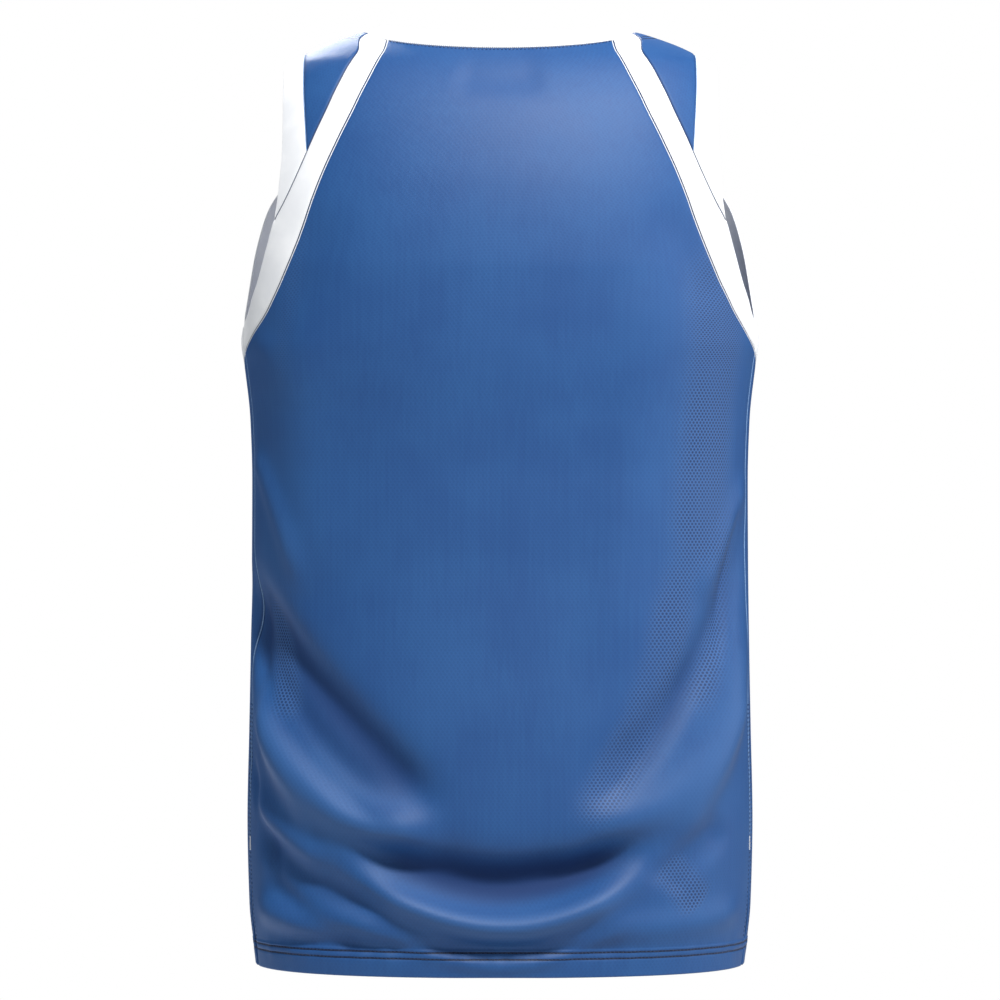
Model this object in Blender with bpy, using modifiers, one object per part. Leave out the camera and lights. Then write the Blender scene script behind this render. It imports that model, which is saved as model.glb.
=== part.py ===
"""Sleeveless basketball jersey, filled out as it is when worn, with its hollow left empty.

The whole garment lies on one smooth body form. A place on the form is given by an angle round the
body, from the middle of the back, and a height. Each cut piece is a region of the form, bounded by
its seams, and becomes an open sheet with a wall turned inwards. Lengths in the tables are in
millimetres and become metres when a mesh is made. +Z is up, the back faces +Y and the wearer's left
is +X. The origin lies midway between the shoulders, at the height of their ridges.
"""

import math
from collections import namedtuple

import bpy
import numpy as np

MM = 0.001

# Driving dimensions, in millimetres.
HEM_HEIGHT = -724.0
HEM_FOLD = 20.0
VENT_TOP = -627.0
NECK_HALF_WIDTH = 105.0
NECK_POINT_HEIGHT = 9.7
BACK_NECK_DROP = 18.1
FRONT_NECK_DROP = 115.0
NECK_RIB_WIDTH = 13.0
SEAM_GAP = 0.3

PANEL_WALL = 1.4
HEM_WALL = 2.2
BAND_WALL = 1.6
BINDING_WALL = 2.0
RIB_WALL = 2.0

# Angles round the body, in degrees from the middle of the back.
SIDE_SEAM_ANGLE = 77.3
VENT_BACK_ANGLE = 75.2
VENT_FRONT_ANGLE = 78.6

# The cross-section is an ellipse whose diagonals stand out by this share.
SECTION_SWELL = 0.05
# Girth from the middle of the back, as GIRTH_RATE * angle + GIRTH_WAVE * sin(2 * angle).
GIRTH_RATE = 162.5
GIRTH_WAVE = 18.75
HALF_GIRTH = GIRTH_RATE * math.pi
GIRTH_RATE_AT_SIDE = GIRTH_RATE - 2 * GIRTH_WAVE

# The body form, from the hem up to the neck: half width, and depth behind and before the side line.
Level = namedtuple("Level", "height half_width back_depth front_depth")
LEVELS = (
    Level(-724.0, 192.4, 121.0, 119.0),
    Level(-676.0, 197.8, 125.0, 123.0),
    Level(-610.0, 199.3, 127.0, 125.0),
    Level(-540.0, 197.9, 124.0, 123.0),
    Level(-470.0, 196.6, 118.5, 122.0),
    Level(-400.0, 195.8, 115.0, 123.0),
    Level(-344.0, 195.6, 115.0, 126.0),
    Level(-297.0, 197.0, 117.5, 129.0),
    Level(-256.0, 201.4, 121.0, 130.0),
    Level(-236.0, 204.2, 122.0, 129.5),
    Level(-210.0, 204.0, 122.6, 127.5),
    Level(-184.0, 203.0, 122.5, 124.0),
    Level(-152.0, 200.6, 120.0, 118.0),
    Level(-120.0, 197.5, 115.0, 110.0),
    Level(-86.0, 193.5, 106.0, 100.0),
    Level(-55.0, 188.0, 94.0, 88.0),
    Level(-32.0, 179.5, 81.0, 75.0),
    Level(-17.5, 170.0, 70.0, 64.5),
    Level(-9.0, 155.0, 61.5, 56.0),
    Level(-2.5, 141.5, 53.5, 48.5),
    Level(3.0, 127.0, 45.5, 41.0),
    Level(7.0, 115.0, 36.5, 32.5),
    Level(9.7, 105.0, 28.0, 25.0),
    Level(13.5, 88.0, 20.0, 18.0),
)

# The two edges of the diagonal band, as distances from the middle plane at each height.
SeamRow = namedtuple("SeamRow", "height panel_edge outer_edge")
BACK_SEAMS = (
    SeamRow(8.0, 82.0, 102.0),
    SeamRow(-8.0, 90.3, 110.5),
    SeamRow(-18.0, 95.4, 115.8),
    SeamRow(-50.0, 110.8, 131.6),
    SeamRow(-82.0, 126.0, 146.1),
    SeamRow(-105.0, 136.5, 156.1),
    SeamRow(-128.0, 145.7, 167.1),
    SeamRow(-143.0, 151.3, 175.2),
    SeamRow(-165.0, 160.0, 181.6),
    SeamRow(-189.0, 170.4, 188.5),
    SeamRow(-204.0, 177.5, 193.9),
    SeamRow(-215.0, 183.2, 197.2),
)
FRONT_SEAMS = (
    SeamRow(8.0, 86.0, 104.9),
    SeamRow(-2.0, 91.0, 112.0),
    SeamRow(-18.0, 100.0, 120.5),
    SeamRow(-50.0, 115.8, 136.0),
    SeamRow(-82.0, 132.8, 152.5),
    SeamRow(-104.0, 151.0, 170.5),
    SeamRow(-129.0, 166.5, 186.0),
    SeamRow(-143.0, 172.5, 190.5),
    SeamRow(-164.0, 180.0, 195.5),
    SeamRow(-186.0, 186.5, 199.0),
    SeamRow(-204.0, 190.5, 201.5),
    SeamRow(-215.0, 192.6, 202.8),
)
# Where the band's edges turn under the arm: angle from the middle of their face, and height.
TurnRow = namedtuple("TurnRow", "angle height")
BACK_PANEL_TURN = (
    TurnRow(69.8, -235.0),
    TurnRow(77.3, -244.5),
    TurnRow(84.0, -252.5),
    TurnRow(90.0, -256.0),
)
BACK_OUTER_TURN = (
    TurnRow(77.5, -223.5),
    TurnRow(83.5, -231.5),
    TurnRow(90.0, -235.0),
)
FRONT_PANEL_TURN = (
    TurnRow(71.5, -229.0),
    TurnRow(77.5, -241.0),
    TurnRow(84.0, -251.0),
    TurnRow(90.0, -256.0),
)
FRONT_OUTER_TURN = (
    TurnRow(83.4, -225.0),
    TurnRow(86.8, -232.0),
    TurnRow(90.0, -235.0),
)

# The armhole binding along the shoulder piece, as distances from the middle plane.
BindingRow = namedtuple("BindingRow", "height inner_edge outer_edge")
BINDING_EDGES = (
    BindingRow(-5.0, 153.8, 169.6),
    BindingRow(-33.0, 153.4, 169.2),
    BindingRow(-50.0, 152.6, 169.0),
    BindingRow(-66.0, 151.5, 168.9),
    BindingRow(-82.0, 150.4, 168.9),
    BindingRow(-96.0, 149.6, 169.6),
    BindingRow(-112.0, 149.0, 171.0),
    BindingRow(-128.0, 148.6, 172.8),
    BindingRow(-143.0, 148.4, 175.2),
)

# Folds of the cloth. Each follows a curve through three places, given as girth from the middle of
# its face towards the wearer's left, and height. A negative rise is a trough.
Fold = namedtuple("Fold", "face start middle end half_width rise")
FOLDS = (
    Fold("back", (43, -29), (0, -35), (-43, -29), 14, -3.0),
    Fold("back", (129, -125), (155, -198), (188, -248), 24, -7.0),
    Fold("back", (-130, -125), (-142, -175), (-166, -214), 18, -5.0),
    Fold("back", (150, -190), (152, -320), (146, -440), 26, 3.0),
    Fold("back", (-124, -160), (-105, -320), (-84, -520), 26, 3.5),
    Fold("back", (226, -318), (185, -364), (150, -440), 11, 3.5),
    Fold("back", (-226, -336), (-185, -388), (-154, -442), 11, 3.0),
    Fold("back", (238, -400), (129, -517), (40, -604), 17, -12.0),
    Fold("back", (222, -460), (133, -578), (38, -614), 17, 8.5),
    Fold("back", (-222, -366), (-150, -492), (-54, -596), 16, -8.0),
    Fold("back", (-220, -430), (-152, -572), (-36, -612), 18, 7.0),
    Fold("back", (134, -603), (0, -650), (-130, -605), 15, -12.0),
    Fold("back", (148, -604), (0, -685), (-130, -620), 15, 8.0),
    Fold("back", (216, -512), (170, -571), (140, -622), 11, 3.5),
    Fold("back", (218, -582), (170, -617), (126, -645), 11, 4.5),
    Fold("back", (206, -610), (146, -650), (76, -680), 13, -7.0),
    Fold("back", (216, -674), (147, -684), (80, -686), 12, 5.0),
    Fold("back", (-180, -604), (-145, -629), (-106, -656), 10, -4.0),
    Fold("back", (-216, -500), (-170, -569), (-130, -628), 12, 4.0),
    Fold("back", (-212, -673), (-136, -686), (-62, -684), 12, 4.0),
    Fold("front", (-132, -150), (-150, -202), (-182, -247), 22, -6.5),
    Fold("front", (134, -160), (150, -205), (180, -246), 20, -5.5),
    Fold("front", (128, -185), (110, -330), (92, -500), 26, 3.5),
    Fold("front", (-140, -200), (-150, -330), (-146, -450), 26, 3.0),
    Fold("front", (-224, -385), (-128, -515), (-46, -594), 17, -10.5),
    Fold("front", (-220, -440), (-138, -576), (-34, -612), 18, 7.5),
    Fold("front", (226, -410), (138, -530), (58, -602), 16, -9.0),
    Fold("front", (222, -470), (134, -584), (44, -622), 18, 7.0),
    Fold("front", (-126, -610), (8, -654), (134, -604), 15, -11.0),
    Fold("front", (-134, -620), (0, -687), (140, -620), 15, 7.5),
    Fold("front", (216, -590), (158, -634), (94, -668), 12, 4.5),
    Fold("front", (-214, -574), (-160, -622), (-104, -660), 12, 4.0),
    Fold("front", (210, -660), (150, -684), (78, -688), 12, 4.5),
)
FOLD_STEPS = 60
FOLD_END_SHARE = 0.24

BLUE = (0.042, 0.121, 0.301)
WHITE = (0.86, 0.86, 0.87)
CLOTH_ROUGHNESS = 0.62

# Rows and columns of the sheets. Along the neck and side edges a panel has one close row.
PANEL_COLUMNS = 30
# Rows between the hem fold and the underarm: rows in each stretch, and the height of its top.
SIDE_STRETCHES = ((13, -552.0), (7, -440.0), (6, None))
SHOULDER_ROWS = 8
SHOULDER_COLUMNS = 14
BINDING_ROWS = 4
ARM_ROWS = 9
# Rows stand closer towards the neckline and towards the underarm by this power.
CROWDING = 1.35
HEM_ROWS = 3
EDGE_ROW = 2.5
LINE_STEPS = 500
# Shares of the way across a narrow strip, with a close row along each edge.
STRIP_SHARES = np.array([0.0, 0.1, 0.5, 0.9, 1.0])
RIB_SHARES = np.array([0.0, 0.15, 0.55, 1.0])
# The rib leans out of the body form by these angles, in degrees.
RIB_LEAN_BACK = 30.0
RIB_LEAN_AT_POINT = 8.0
RIB_LEAN_FRONT = 8.0
# Up to this share of its edge's length a panel's rows stay level.
LEVEL_SHARE = 0.35
# How fast the shape of the neckline fades down the band. Above these shares of its length the band
# lies evenly over the shoulder's ridge, and below them round the body.
BAND_TOP_FADE = 8
BAND_TOP_SHARES = (0.25, 0.5)
# The share of a shoulder piece's width that its close first and last columns take.
CLOSE_SHARE = 0.04
RIDGE_STEPS = 4


def smooth_curve(at, values):
    """A cubic through the points (at, values) that never overshoots them. at is rising."""
    at = np.asarray(at, float)
    values = np.asarray(values, float)
    step = np.diff(at)
    slope = np.diff(values) / step
    tangent = np.empty(len(at))
    tangent[0], tangent[-1] = slope[0], slope[-1]
    product = slope[:-1] * slope[1:]
    total = np.where(product > 0, slope[:-1] + slope[1:], 1.0)
    tangent[1:-1] = np.where(product > 0, 2 * product / total, 0.0)

    def value(x):
        x = np.clip(x, at[0], at[-1])
        i = np.clip(np.searchsorted(at, x, side="right") - 1, 0, len(step) - 1)
        h = step[i]
        s = (x - at[i]) / h
        start = (1 + 2 * s) * (1 - s) ** 2 * values[i] + s * (1 - s) ** 2 * h * tangent[i]
        end = s * s * (3 - 2 * s) * values[i + 1] - s * s * (1 - s) * h * tangent[i + 1]
        return start + end

    return value


HEIGHTS = [level.height for level in LEVELS]
half_width_at = smooth_curve(HEIGHTS, [level.half_width for level in LEVELS])
back_depth_at = smooth_curve(HEIGHTS, [level.back_depth for level in LEVELS])
front_depth_at = smooth_curve(HEIGHTS, [level.front_depth for level in LEVELS])


def girth_at(angle):
    return GIRTH_RATE * angle + GIRTH_WAVE * np.sin(2 * angle)


def form_point(angle, height):
    """The smooth form, in millimetres. angle is in radians from the middle of the back."""
    swell = 1 + SECTION_SWELL * np.sin(2 * angle) ** 2
    depth = np.where(np.cos(angle) > 0, back_depth_at(height), front_depth_at(height))
    x = half_width_at(height) * np.sin(angle) * swell
    y = depth * np.cos(angle) * swell
    return np.stack([x, y, np.broadcast_to(height, x.shape)], axis=-1)


def form_normal(angle, height):
    turn, rise = 1e-3, 0.05
    round_body = form_point(angle + turn, height) - form_point(angle - turn, height)
    up = form_point(angle, height + rise) - form_point(angle, height - rise)
    normal = np.cross(up, round_body)
    return normal / np.linalg.norm(normal, axis=-1, keepdims=True)


QUARTER_TURN = np.linspace(0, math.pi / 2, 400)
SECTION_SHARE = np.sin(QUARTER_TURN) * (1 + SECTION_SWELL * np.sin(2 * QUARTER_TURN) ** 2)


def angle_at(x, height):
    """The angle from the middle of the back at which the form is x from the middle plane."""
    return np.interp(np.asarray(x) / half_width_at(height), SECTION_SHARE, QUARTER_TURN)


RIDGE_HEIGHTS = np.linspace(BACK_OUTER_TURN[-1].height, LEVELS[-1].height, 600)
RIDGE_WIDTHS = half_width_at(RIDGE_HEIGHTS)


def ridge_height(x):
    """The height of the shoulder's ridge at the distance x from the middle plane."""
    return np.interp(x, RIDGE_WIDTHS[::-1], RIDGE_HEIGHTS[::-1])


def fold_curve(fold):
    """Girths and heights along the quadratic curve through a fold's three places."""
    u = np.linspace(0, 1, FOLD_STEPS)[:, None]
    start, middle, end = (np.array(place, float) for place in fold[1:4])
    bend = 2 * middle - (start + end) / 2
    curve = (1 - u) ** 2 * start + 2 * u * (1 - u) * bend + u * u * end
    if fold.face == "front":
        curve[:, 0] = HALF_GIRTH - curve[:, 0]
    return curve


def fold_rise(angle, height):
    """How far the cloth stands out from the form, in millimetres."""
    girth = girth_at(angle)
    total = np.zeros(np.shape(girth))
    along = np.linspace(0, 1, FOLD_STEPS)
    end_share = np.clip(np.minimum(along, 1 - along) / FOLD_END_SHARE, 0, 1)
    fade = end_share * end_share * (3 - 2 * end_share)
    for fold in FOLDS:
        curve = fold_curve(fold)
        across = girth[..., None] - curve[:, 0]
        across = (across + HALF_GIRTH) % (2 * HALF_GIRTH) - HALF_GIRTH
        square = across**2 + (height[..., None] - curve[:, 1]) ** 2
        nearest = square.argmin(axis=-1)
        least = np.take_along_axis(square, nearest[..., None], axis=-1)[..., 0]
        total += fold.rise * fade[nearest] * np.exp(-least / (fold.half_width**2))
    return total


def cloth_point(angle, height):
    """The cloth's outer face, in millimetres, with its folds."""
    angle, height = np.broadcast_arrays(np.asarray(angle, float), np.asarray(height, float))
    rise = fold_rise(angle, height)
    return form_point(angle, height) + form_normal(angle, height) * rise[..., None]


def neck_height(x, face):
    """The neckline's height. Seen from the front or back it is half an ellipse."""
    drop = FRONT_NECK_DROP if face == "front" else BACK_NECK_DROP
    share = np.clip(np.abs(x) / NECK_HALF_WIDTH, 0, 1)
    return NECK_POINT_HEIGHT - drop * np.sqrt(1 - share**2)


def neck_stretch(start, end, shares):
    """Places along the left half of the neckline, at shares of the way from start to end.

    Both are places on it, as angle and height.
    """
    turn = neck_turn(*start) + (neck_turn(*end) - neck_turn(*start)) * shares
    drop = np.where(turn > 0, BACK_NECK_DROP, FRONT_NECK_DROP)
    height = NECK_POINT_HEIGHT - drop * np.abs(np.sin(turn))
    own_angle = angle_at(NECK_HALF_WIDTH * np.cos(turn), height)
    return np.where(turn > 0, own_angle, math.pi - own_angle), height


def neck_turn(angle, height):
    """The turn of the neckline's ellipse at a place: 0 at the neck point, less on the front."""
    drop = BACK_NECK_DROP if angle < math.pi / 2 else -FRONT_NECK_DROP
    return math.asin((NECK_POINT_HEIGHT - height) / drop)


def seam_line(rows, column, turn):
    """A band edge on one face: angles from that face's middle and heights, from the neck down."""
    heights = np.array([row.height for row in rows])
    angles = angle_at([getattr(row, column) for row in rows], heights)
    angles = np.append(angles, np.radians([row.angle for row in turn]))
    heights = np.append(heights, [row.height for row in turn])
    # Angles are compared with heights as girths, so that steps along the line are true lengths.
    steps = np.hypot(np.diff(girth_at(angles)), np.diff(heights))
    length = np.append(0, np.cumsum(steps))
    dense = np.linspace(0, length[-1], LINE_STEPS)
    return smooth_curve(length, angles)(dense), smooth_curve(length, heights)(dense)


def cut_from(line, values):
    """The part of a line after the place where values, one for each point, first rise past 0."""
    i = int(np.argmax(values > 0))
    if i == 0:
        return line
    share = -values[i - 1] / (values[i] - values[i - 1])
    start = [[column[i - 1] + share * (column[i] - column[i - 1])] for column in line]
    return tuple(np.append(first, column[i:]) for first, column in zip(start, line))


def reverse(line):
    return tuple(column[::-1] for column in line)


def join_lines(*lines):
    return tuple(np.concatenate(columns) for columns in zip(*lines))


def line_length(line):
    """The length from a line's start to each of its points."""
    steps = np.linalg.norm(np.diff(form_point(*line), axis=0), axis=1)
    return np.append(0, np.cumsum(steps))


def resample(line, lengths):
    """Places on a line at the given lengths from its start."""
    length = line_length(line)
    return tuple(np.interp(lengths, length, column) for column in line)


def band_edge(column, back_turn, front_turn):
    """A band edge from the back's neckline, under the arm, to the front's neckline."""
    halves = []
    for face, rows, turn in (("back", BACK_SEAMS, back_turn), ("front", FRONT_SEAMS, front_turn)):
        line = seam_line(rows, column, turn)
        halves.append(cut_from(line, neck_height(form_point(*line)[:, 0], face) - line[1]))
    back, front = halves
    return join_lines(back, reverse((math.pi - front[0][:-1], front[1][:-1])))


def split_at_side_seam(line):
    """The stretches of a band edge before and after the side seam."""
    past_seam = line[0] - math.radians(SIDE_SEAM_ANGLE)
    after = cut_from(line, past_seam)
    before = reverse(cut_from(reverse(line), -past_seam[::-1]))
    return before, after


def offset_line(line, distance):
    """A line moved sideways over the form, to its right as seen from outside."""
    angle, height = line
    points = form_point(angle, height)
    along = np.gradient(points, axis=0)
    along /= np.linalg.norm(along, axis=1, keepdims=True)
    aside = np.cross(along, form_normal(angle, height)) * distance
    turn, rise = 1e-3, 0.05
    per_turn = (form_point(angle + turn, height) - form_point(angle - turn, height)) / (2 * turn)
    per_rise = (form_point(angle, height + rise) - form_point(angle, height - rise)) / (2 * rise)
    tt, tr, rr = ((a * b).sum(axis=1) for a, b in
                  ((per_turn, per_turn), (per_turn, per_rise), (per_rise, per_rise)))
    at, ar = (aside * per_turn).sum(axis=1), (aside * per_rise).sum(axis=1)
    area = tt * rr - tr * tr
    return angle + (at * rr - ar * tr) / area, height + (ar * tt - at * tr) / area


def side_seam_line(vent_angle, heights):
    """The side seam at the given heights. It parts below the top of the vent."""
    vent, seam = math.radians(vent_angle), math.radians(SIDE_SEAM_ANGLE)
    bend = smooth_curve([HEM_HEIGHT, HEM_HEIGHT + HEM_FOLD, VENT_TOP, 0.0], [vent, vent, seam, seam])
    return bend(heights), heights


def close_ended(count, length, edge=EDGE_ROW):
    """Lengths from 0 to length with a close first and last step."""
    inner = np.linspace(edge, length - edge, count - 1)
    return np.concatenate([[0.0], inner, [length]])


def over_shoulder(line):
    """A line as its distance from the middle plane, and the root of its drop below the ridge.

    The root is counted below 0 on the front. Over the shoulder's ridge both change evenly.
    """
    angle, height = line
    x = form_point(angle, height)[..., 0]
    root = np.sqrt(np.clip(ridge_height(x) - height, 0, None))
    return np.stack([x, np.where(angle > math.pi / 2, -root, root)], axis=-1)


def from_shoulder(places):
    x, root = places[..., 0], places[..., 1]
    height = ridge_height(x) - root**2
    own_angle = angle_at(x, height)
    return np.where(root > 0, own_angle, math.pi - own_angle), height


def coons_patch(back, front, start, end, along, across):
    """Places between four edges. Rows run from start to end, columns from back to front."""
    p, q = along[:, None, None], across[None, :, None]
    ruled = (1 - q) * back[:, None] + q * front[:, None] + (1 - p) * start[None] + p * end[None]
    corners = (1 - p) * ((1 - q) * back[0] + q * front[0]) + p * ((1 - q) * back[-1] + q * front[-1])
    return ruled - corners


def across_ridge(start, end, edge_at, shares):
    """Places over the shoulder from start to end whose distances follow edge_at(height)."""
    root = start[1] + (end[1] - start[1]) * shares
    x = start[0] + (end[0] - start[0]) * shares
    for _ in range(RIDGE_STEPS):
        x = edge_at(ridge_height(x) - root**2)
    x += (start[0] - x[0]) * (1 - shares) + (end[0] - x[-1]) * shares
    return np.stack([x, root], axis=-1)


def panel_grid(edge, face, columns):
    """Angles and heights over a panel whose left edge runs from the hem corner to the neckline.

    Angles count from the middle of the panel's own face.
    """
    edge_angle, edge_height = edge
    length = line_length(edge)
    middle_top = float(neck_height(0.0, face))
    level = LEVEL_SHARE * length[-1]
    middle_height = smooth_curve(
        [0.0, level, length[-1]], [HEM_HEIGHT, HEM_HEIGHT + level, middle_top]
    )(length)

    panel_width = 2 * girth_at(math.radians(SIDE_SEAM_ANGLE))
    across = 2 * close_ended(columns, panel_width) / panel_width - 1
    angle = across[None, :] * edge_angle[:, None]

    # The heights of the neckline row come from where each angle meets the neckline's ellipse.
    trial = np.linspace(middle_top, edge_height[-1], LINE_STEPS)
    drop = NECK_POINT_HEIGHT - middle_top
    trial_x = NECK_HALF_WIDTH * np.sqrt(1 - ((NECK_POINT_HEIGHT - trial) / drop) ** 2)
    neck = np.interp(np.abs(across) * edge_angle[-1], angle_at(trial_x, trial), trial)
    neck_share = (neck - middle_top) / (edge_height[-1] - middle_top)

    toward_neck = (length / length[-1])[:, None] ** 4
    lift = np.abs(across[None, :]) ** 3 * (1 - toward_neck) + neck_share[None, :] * toward_neck
    height = middle_height[:, None] + (edge_height - middle_height)[:, None] * lift
    return angle, height


def principled(name, color):
    material = bpy.data.materials.new(name)
    material.use_nodes = True
    shader = material.node_tree.nodes["Principled BSDF"]
    shader.inputs["Base Color"].default_value = (*color, 1.0)
    shader.inputs["Roughness"].default_value = CLOTH_ROUGHNESS
    shader.inputs["Metallic"].default_value = 0.0
    return material


def cloth_piece(name, points, outward, wall, color, closed=False, hem_rows=0):
    """A sheet through a grid of points, in millimetres, with its wall turned inwards."""
    rows, columns = points.shape[:2]
    index = np.arange(rows * columns).reshape(rows, columns)
    ring = np.hstack([index, index[:, :1]]) if closed else index
    faces = np.stack([ring[:-1, :-1], ring[:-1, 1:], ring[1:, 1:], ring[1:, :-1]], axis=-1)
    faces = faces.reshape(-1, 4)

    # A face is split between its first and third corners, which are those of its shorter diagonal.
    flat = points.reshape(-1, 3)
    first, second = flat[faces[:, 2]] - flat[faces[:, 0]], flat[faces[:, 3]] - flat[faces[:, 1]]
    turned = (first**2).sum(axis=1) > (second**2).sum(axis=1)
    faces[turned] = np.roll(faces[turned], -1, axis=1)
    across = np.cross(first, second)
    if (across * outward.reshape(-1, 3)[faces[:, 0]]).sum() < 0:
        faces = faces[:, [0, 3, 2, 1]]

    mesh = bpy.data.meshes.new(name)
    mesh.from_pydata((flat * MM).tolist(), [], faces.tolist())
    mesh.shade_smooth()
    mesh.materials.append(principled(name, color))
    piece = bpy.data.objects.new(name, mesh)
    GARMENT.objects.link(piece)

    solidify = piece.modifiers.new("Wall", "SOLIDIFY")
    solidify.offset = -1.0
    solidify.thickness = wall * MM
    if hem_rows:
        solidify.thickness = HEM_WALL * MM
        hem = piece.vertex_groups.new(name="hem")
        hem.add(index[:hem_rows].ravel().tolist(), 1.0, "REPLACE")
        hem.add(index[hem_rows:].ravel().tolist(), wall / HEM_WALL, "REPLACE")
        solidify.vertex_group = hem.name
    return piece


def on_form(angle, height):
    """Points of the cloth's outer face at these places, and the directions out of the form."""
    return cloth_point(angle, height), form_normal(angle, height)


def make_sided(name, angle, height, wall, color):
    """A piece on the wearer's left and its twin on the right. It returns their first rows."""
    first_rows = {}
    for side, sign in (("left", 1), ("right", -1)):
        points, outward = on_form(sign * angle, height)
        cloth_piece(f"{name}_{side}", points, outward, wall, color)
        first_rows[side] = points[0], outward[0]
    return first_rows


def binding_edge(column):
    """The distance of one of the binding's edges from the middle plane, at a height."""
    rows = BINDING_EDGES[::-1]
    return smooth_curve([row.height for row in rows], [getattr(row, column) for row in rows])


def share_of_line(line, edge_at):
    """The length from a line's start to where it meets the binding's edge."""
    beyond = form_point(*line)[:, 0] - edge_at(line[1])
    return line_length(line)[-1] - line_length(cut_from(line, beyond))[-1]


class ArmEdges:
    """The two edges of the diagonal band on one face, from the neckline to the side seam.

    Their places are shared by all the pieces that meet there. Sideways distances over the form are
    positive towards the armhole.
    """

    def __init__(self, face, seam, outer):
        self.toward_arm = 1 if face == "back" else -1
        total = line_length(outer)[-1]
        inner_end = share_of_line(outer, binding_edge("inner_edge"))
        outer_end = share_of_line(outer, binding_edge("outer_edge"))
        lengths = np.concatenate([
            inner_end * np.linspace(0, 1, SHOULDER_ROWS + 1) ** CROWDING,
            np.linspace(inner_end, outer_end, BINDING_ROWS + 1)[1:],
            total - (total - outer_end) * np.linspace(1, 0, ARM_ROWS + 1)[1:] ** CROWDING,
        ])
        self.shares = lengths / total
        self.seam = resample(seam, self.shares * line_length(seam)[-1])
        self.outer = resample(outer, lengths)

    def beside_seam(self, distance):
        return offset_line(self.seam, distance * self.toward_arm)

    def beside_outer(self, distance):
        return offset_line(self.outer, distance * self.toward_arm)


def make_panels(edges):
    """The back and front panels. It returns their neckline rows."""
    half_gap = SEAM_GAP / 2
    top = edges["back"].seam[1][-1]
    level = HEM_HEIGHT + HEM_FOLD
    stretches = [[HEM_HEIGHT, HEM_HEIGHT + EDGE_ROW]]
    for rows, stretch_top in SIDE_STRETCHES:
        end = stretch_top or top
        stretches.append(np.linspace(level, end, rows + 1)[:-1])
        level = end
    heights = np.concatenate(stretches)
    neck_rows = {}
    for face, vent_angle in (("back", VENT_BACK_ANGLE), ("front", VENT_FRONT_ANGLE)):
        upper = reverse(edges[face].beside_seam(-half_gap))
        side = side_seam_line(vent_angle, heights)
        side = offset_line(side, half_gap * edges[face].toward_arm)
        upper[0][0] -= edges[face].toward_arm * half_gap / GIRTH_RATE_AT_SIDE
        angle, height = join_lines(side, upper)
        if face == "front":
            angle = math.pi - angle
        angle, height = panel_grid((angle, height), face, PANEL_COLUMNS)
        if face == "front":
            angle = math.pi - angle
        points, outward = on_form(angle, height)
        cloth_piece(f"{face}_panel", points, outward, PANEL_WALL, BLUE, hem_rows=HEM_ROWS)
        neck_rows[face] = points[-1], outward[-1]
    return neck_rows


def between(inner, outer):
    """Places across a strip between two rows of places."""
    shares = STRIP_SHARES[:, None]
    return inner[:, None] * (1 - shares) + outer[:, None] * shares


def make_band(face, edges):
    """The diagonal band on each side of one face. It returns their neckline rows."""
    half_gap = SEAM_GAP / 2
    inner, outer = edges.beside_seam(half_gap), edges.beside_outer(-half_gap)
    round_body = between(np.stack(inner, axis=-1), np.stack(outer, axis=-1))

    over_ridge = between(over_shoulder(inner), over_shoulder(outer))
    neck = neck_stretch(*((line[0][0], line[1][0]) for line in (inner, outer)), STRIP_SHARES)
    fade = (1 - edges.shares[:, None, None]) ** BAND_TOP_FADE
    over_ridge += fade * (over_shoulder(neck) - over_ridge[0])
    over_ridge = np.stack(from_shoulder(over_ridge), axis=-1)

    start, end = BAND_TOP_SHARES
    lower = np.clip((edges.shares - start) / (end - start), 0, 1)[:, None, None]
    places = over_ridge * (1 - lower) + round_body * lower
    angle, height = places[..., 0], places[..., 1]
    angle[-1] -= edges.toward_arm * half_gap / GIRTH_RATE_AT_SIDE
    return make_sided(f"{face}_band", angle, height, BAND_WALL, WHITE)


def make_shoulders(edges):
    """The blue piece over each shoulder and the binding along its armhole edge.

    It returns the shoulder pieces' neckline rows.
    """
    back, front = (edges[face].beside_outer(SEAM_GAP / 2) for face in ("back", "front"))
    end = SHOULDER_ROWS
    back_edge, front_edge = (over_shoulder(line) for line in (back, front))
    across = close_ended(SHOULDER_COLUMNS, 1.0, edge=CLOSE_SHARE)
    neck = neck_stretch(*((line[0][0], line[1][0]) for line in (back, front)), across)
    neck = over_shoulder(neck)
    inner_at = binding_edge("inner_edge")
    arm = across_ridge(back_edge[end], front_edge[end], inner_at, across)
    neck[0], neck[-1] = back_edge[0], front_edge[0]
    along = edges["back"].shares[: end + 1] / edges["back"].shares[end]
    places = coons_patch(back_edge[: end + 1], front_edge[: end + 1], neck, arm, along, across)
    angle, height = from_shoulder(places)
    neck_rows = make_sided("shoulder", angle, height, PANEL_WALL, BLUE)

    last = SHOULDER_ROWS + BINDING_ROWS
    along = np.linspace(0, 1, BINDING_ROWS + 1)
    clear = np.stack([SEAM_GAP * (1 - along), 0 * along], axis=-1)
    back_edge = back_edge[end : last + 1] + clear
    front_edge = front_edge[end : last + 1] + clear
    inner = across_ridge(back_edge[0], front_edge[0], inner_at, across)
    outer = across_ridge(back_edge[-1], front_edge[-1], binding_edge("outer_edge"), across)
    places = coons_patch(back_edge, front_edge, inner, outer, along, across)
    angle, height = from_shoulder(places)
    make_sided("armhole_binding", angle, height, BINDING_WALL, WHITE)
    return neck_rows


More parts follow.
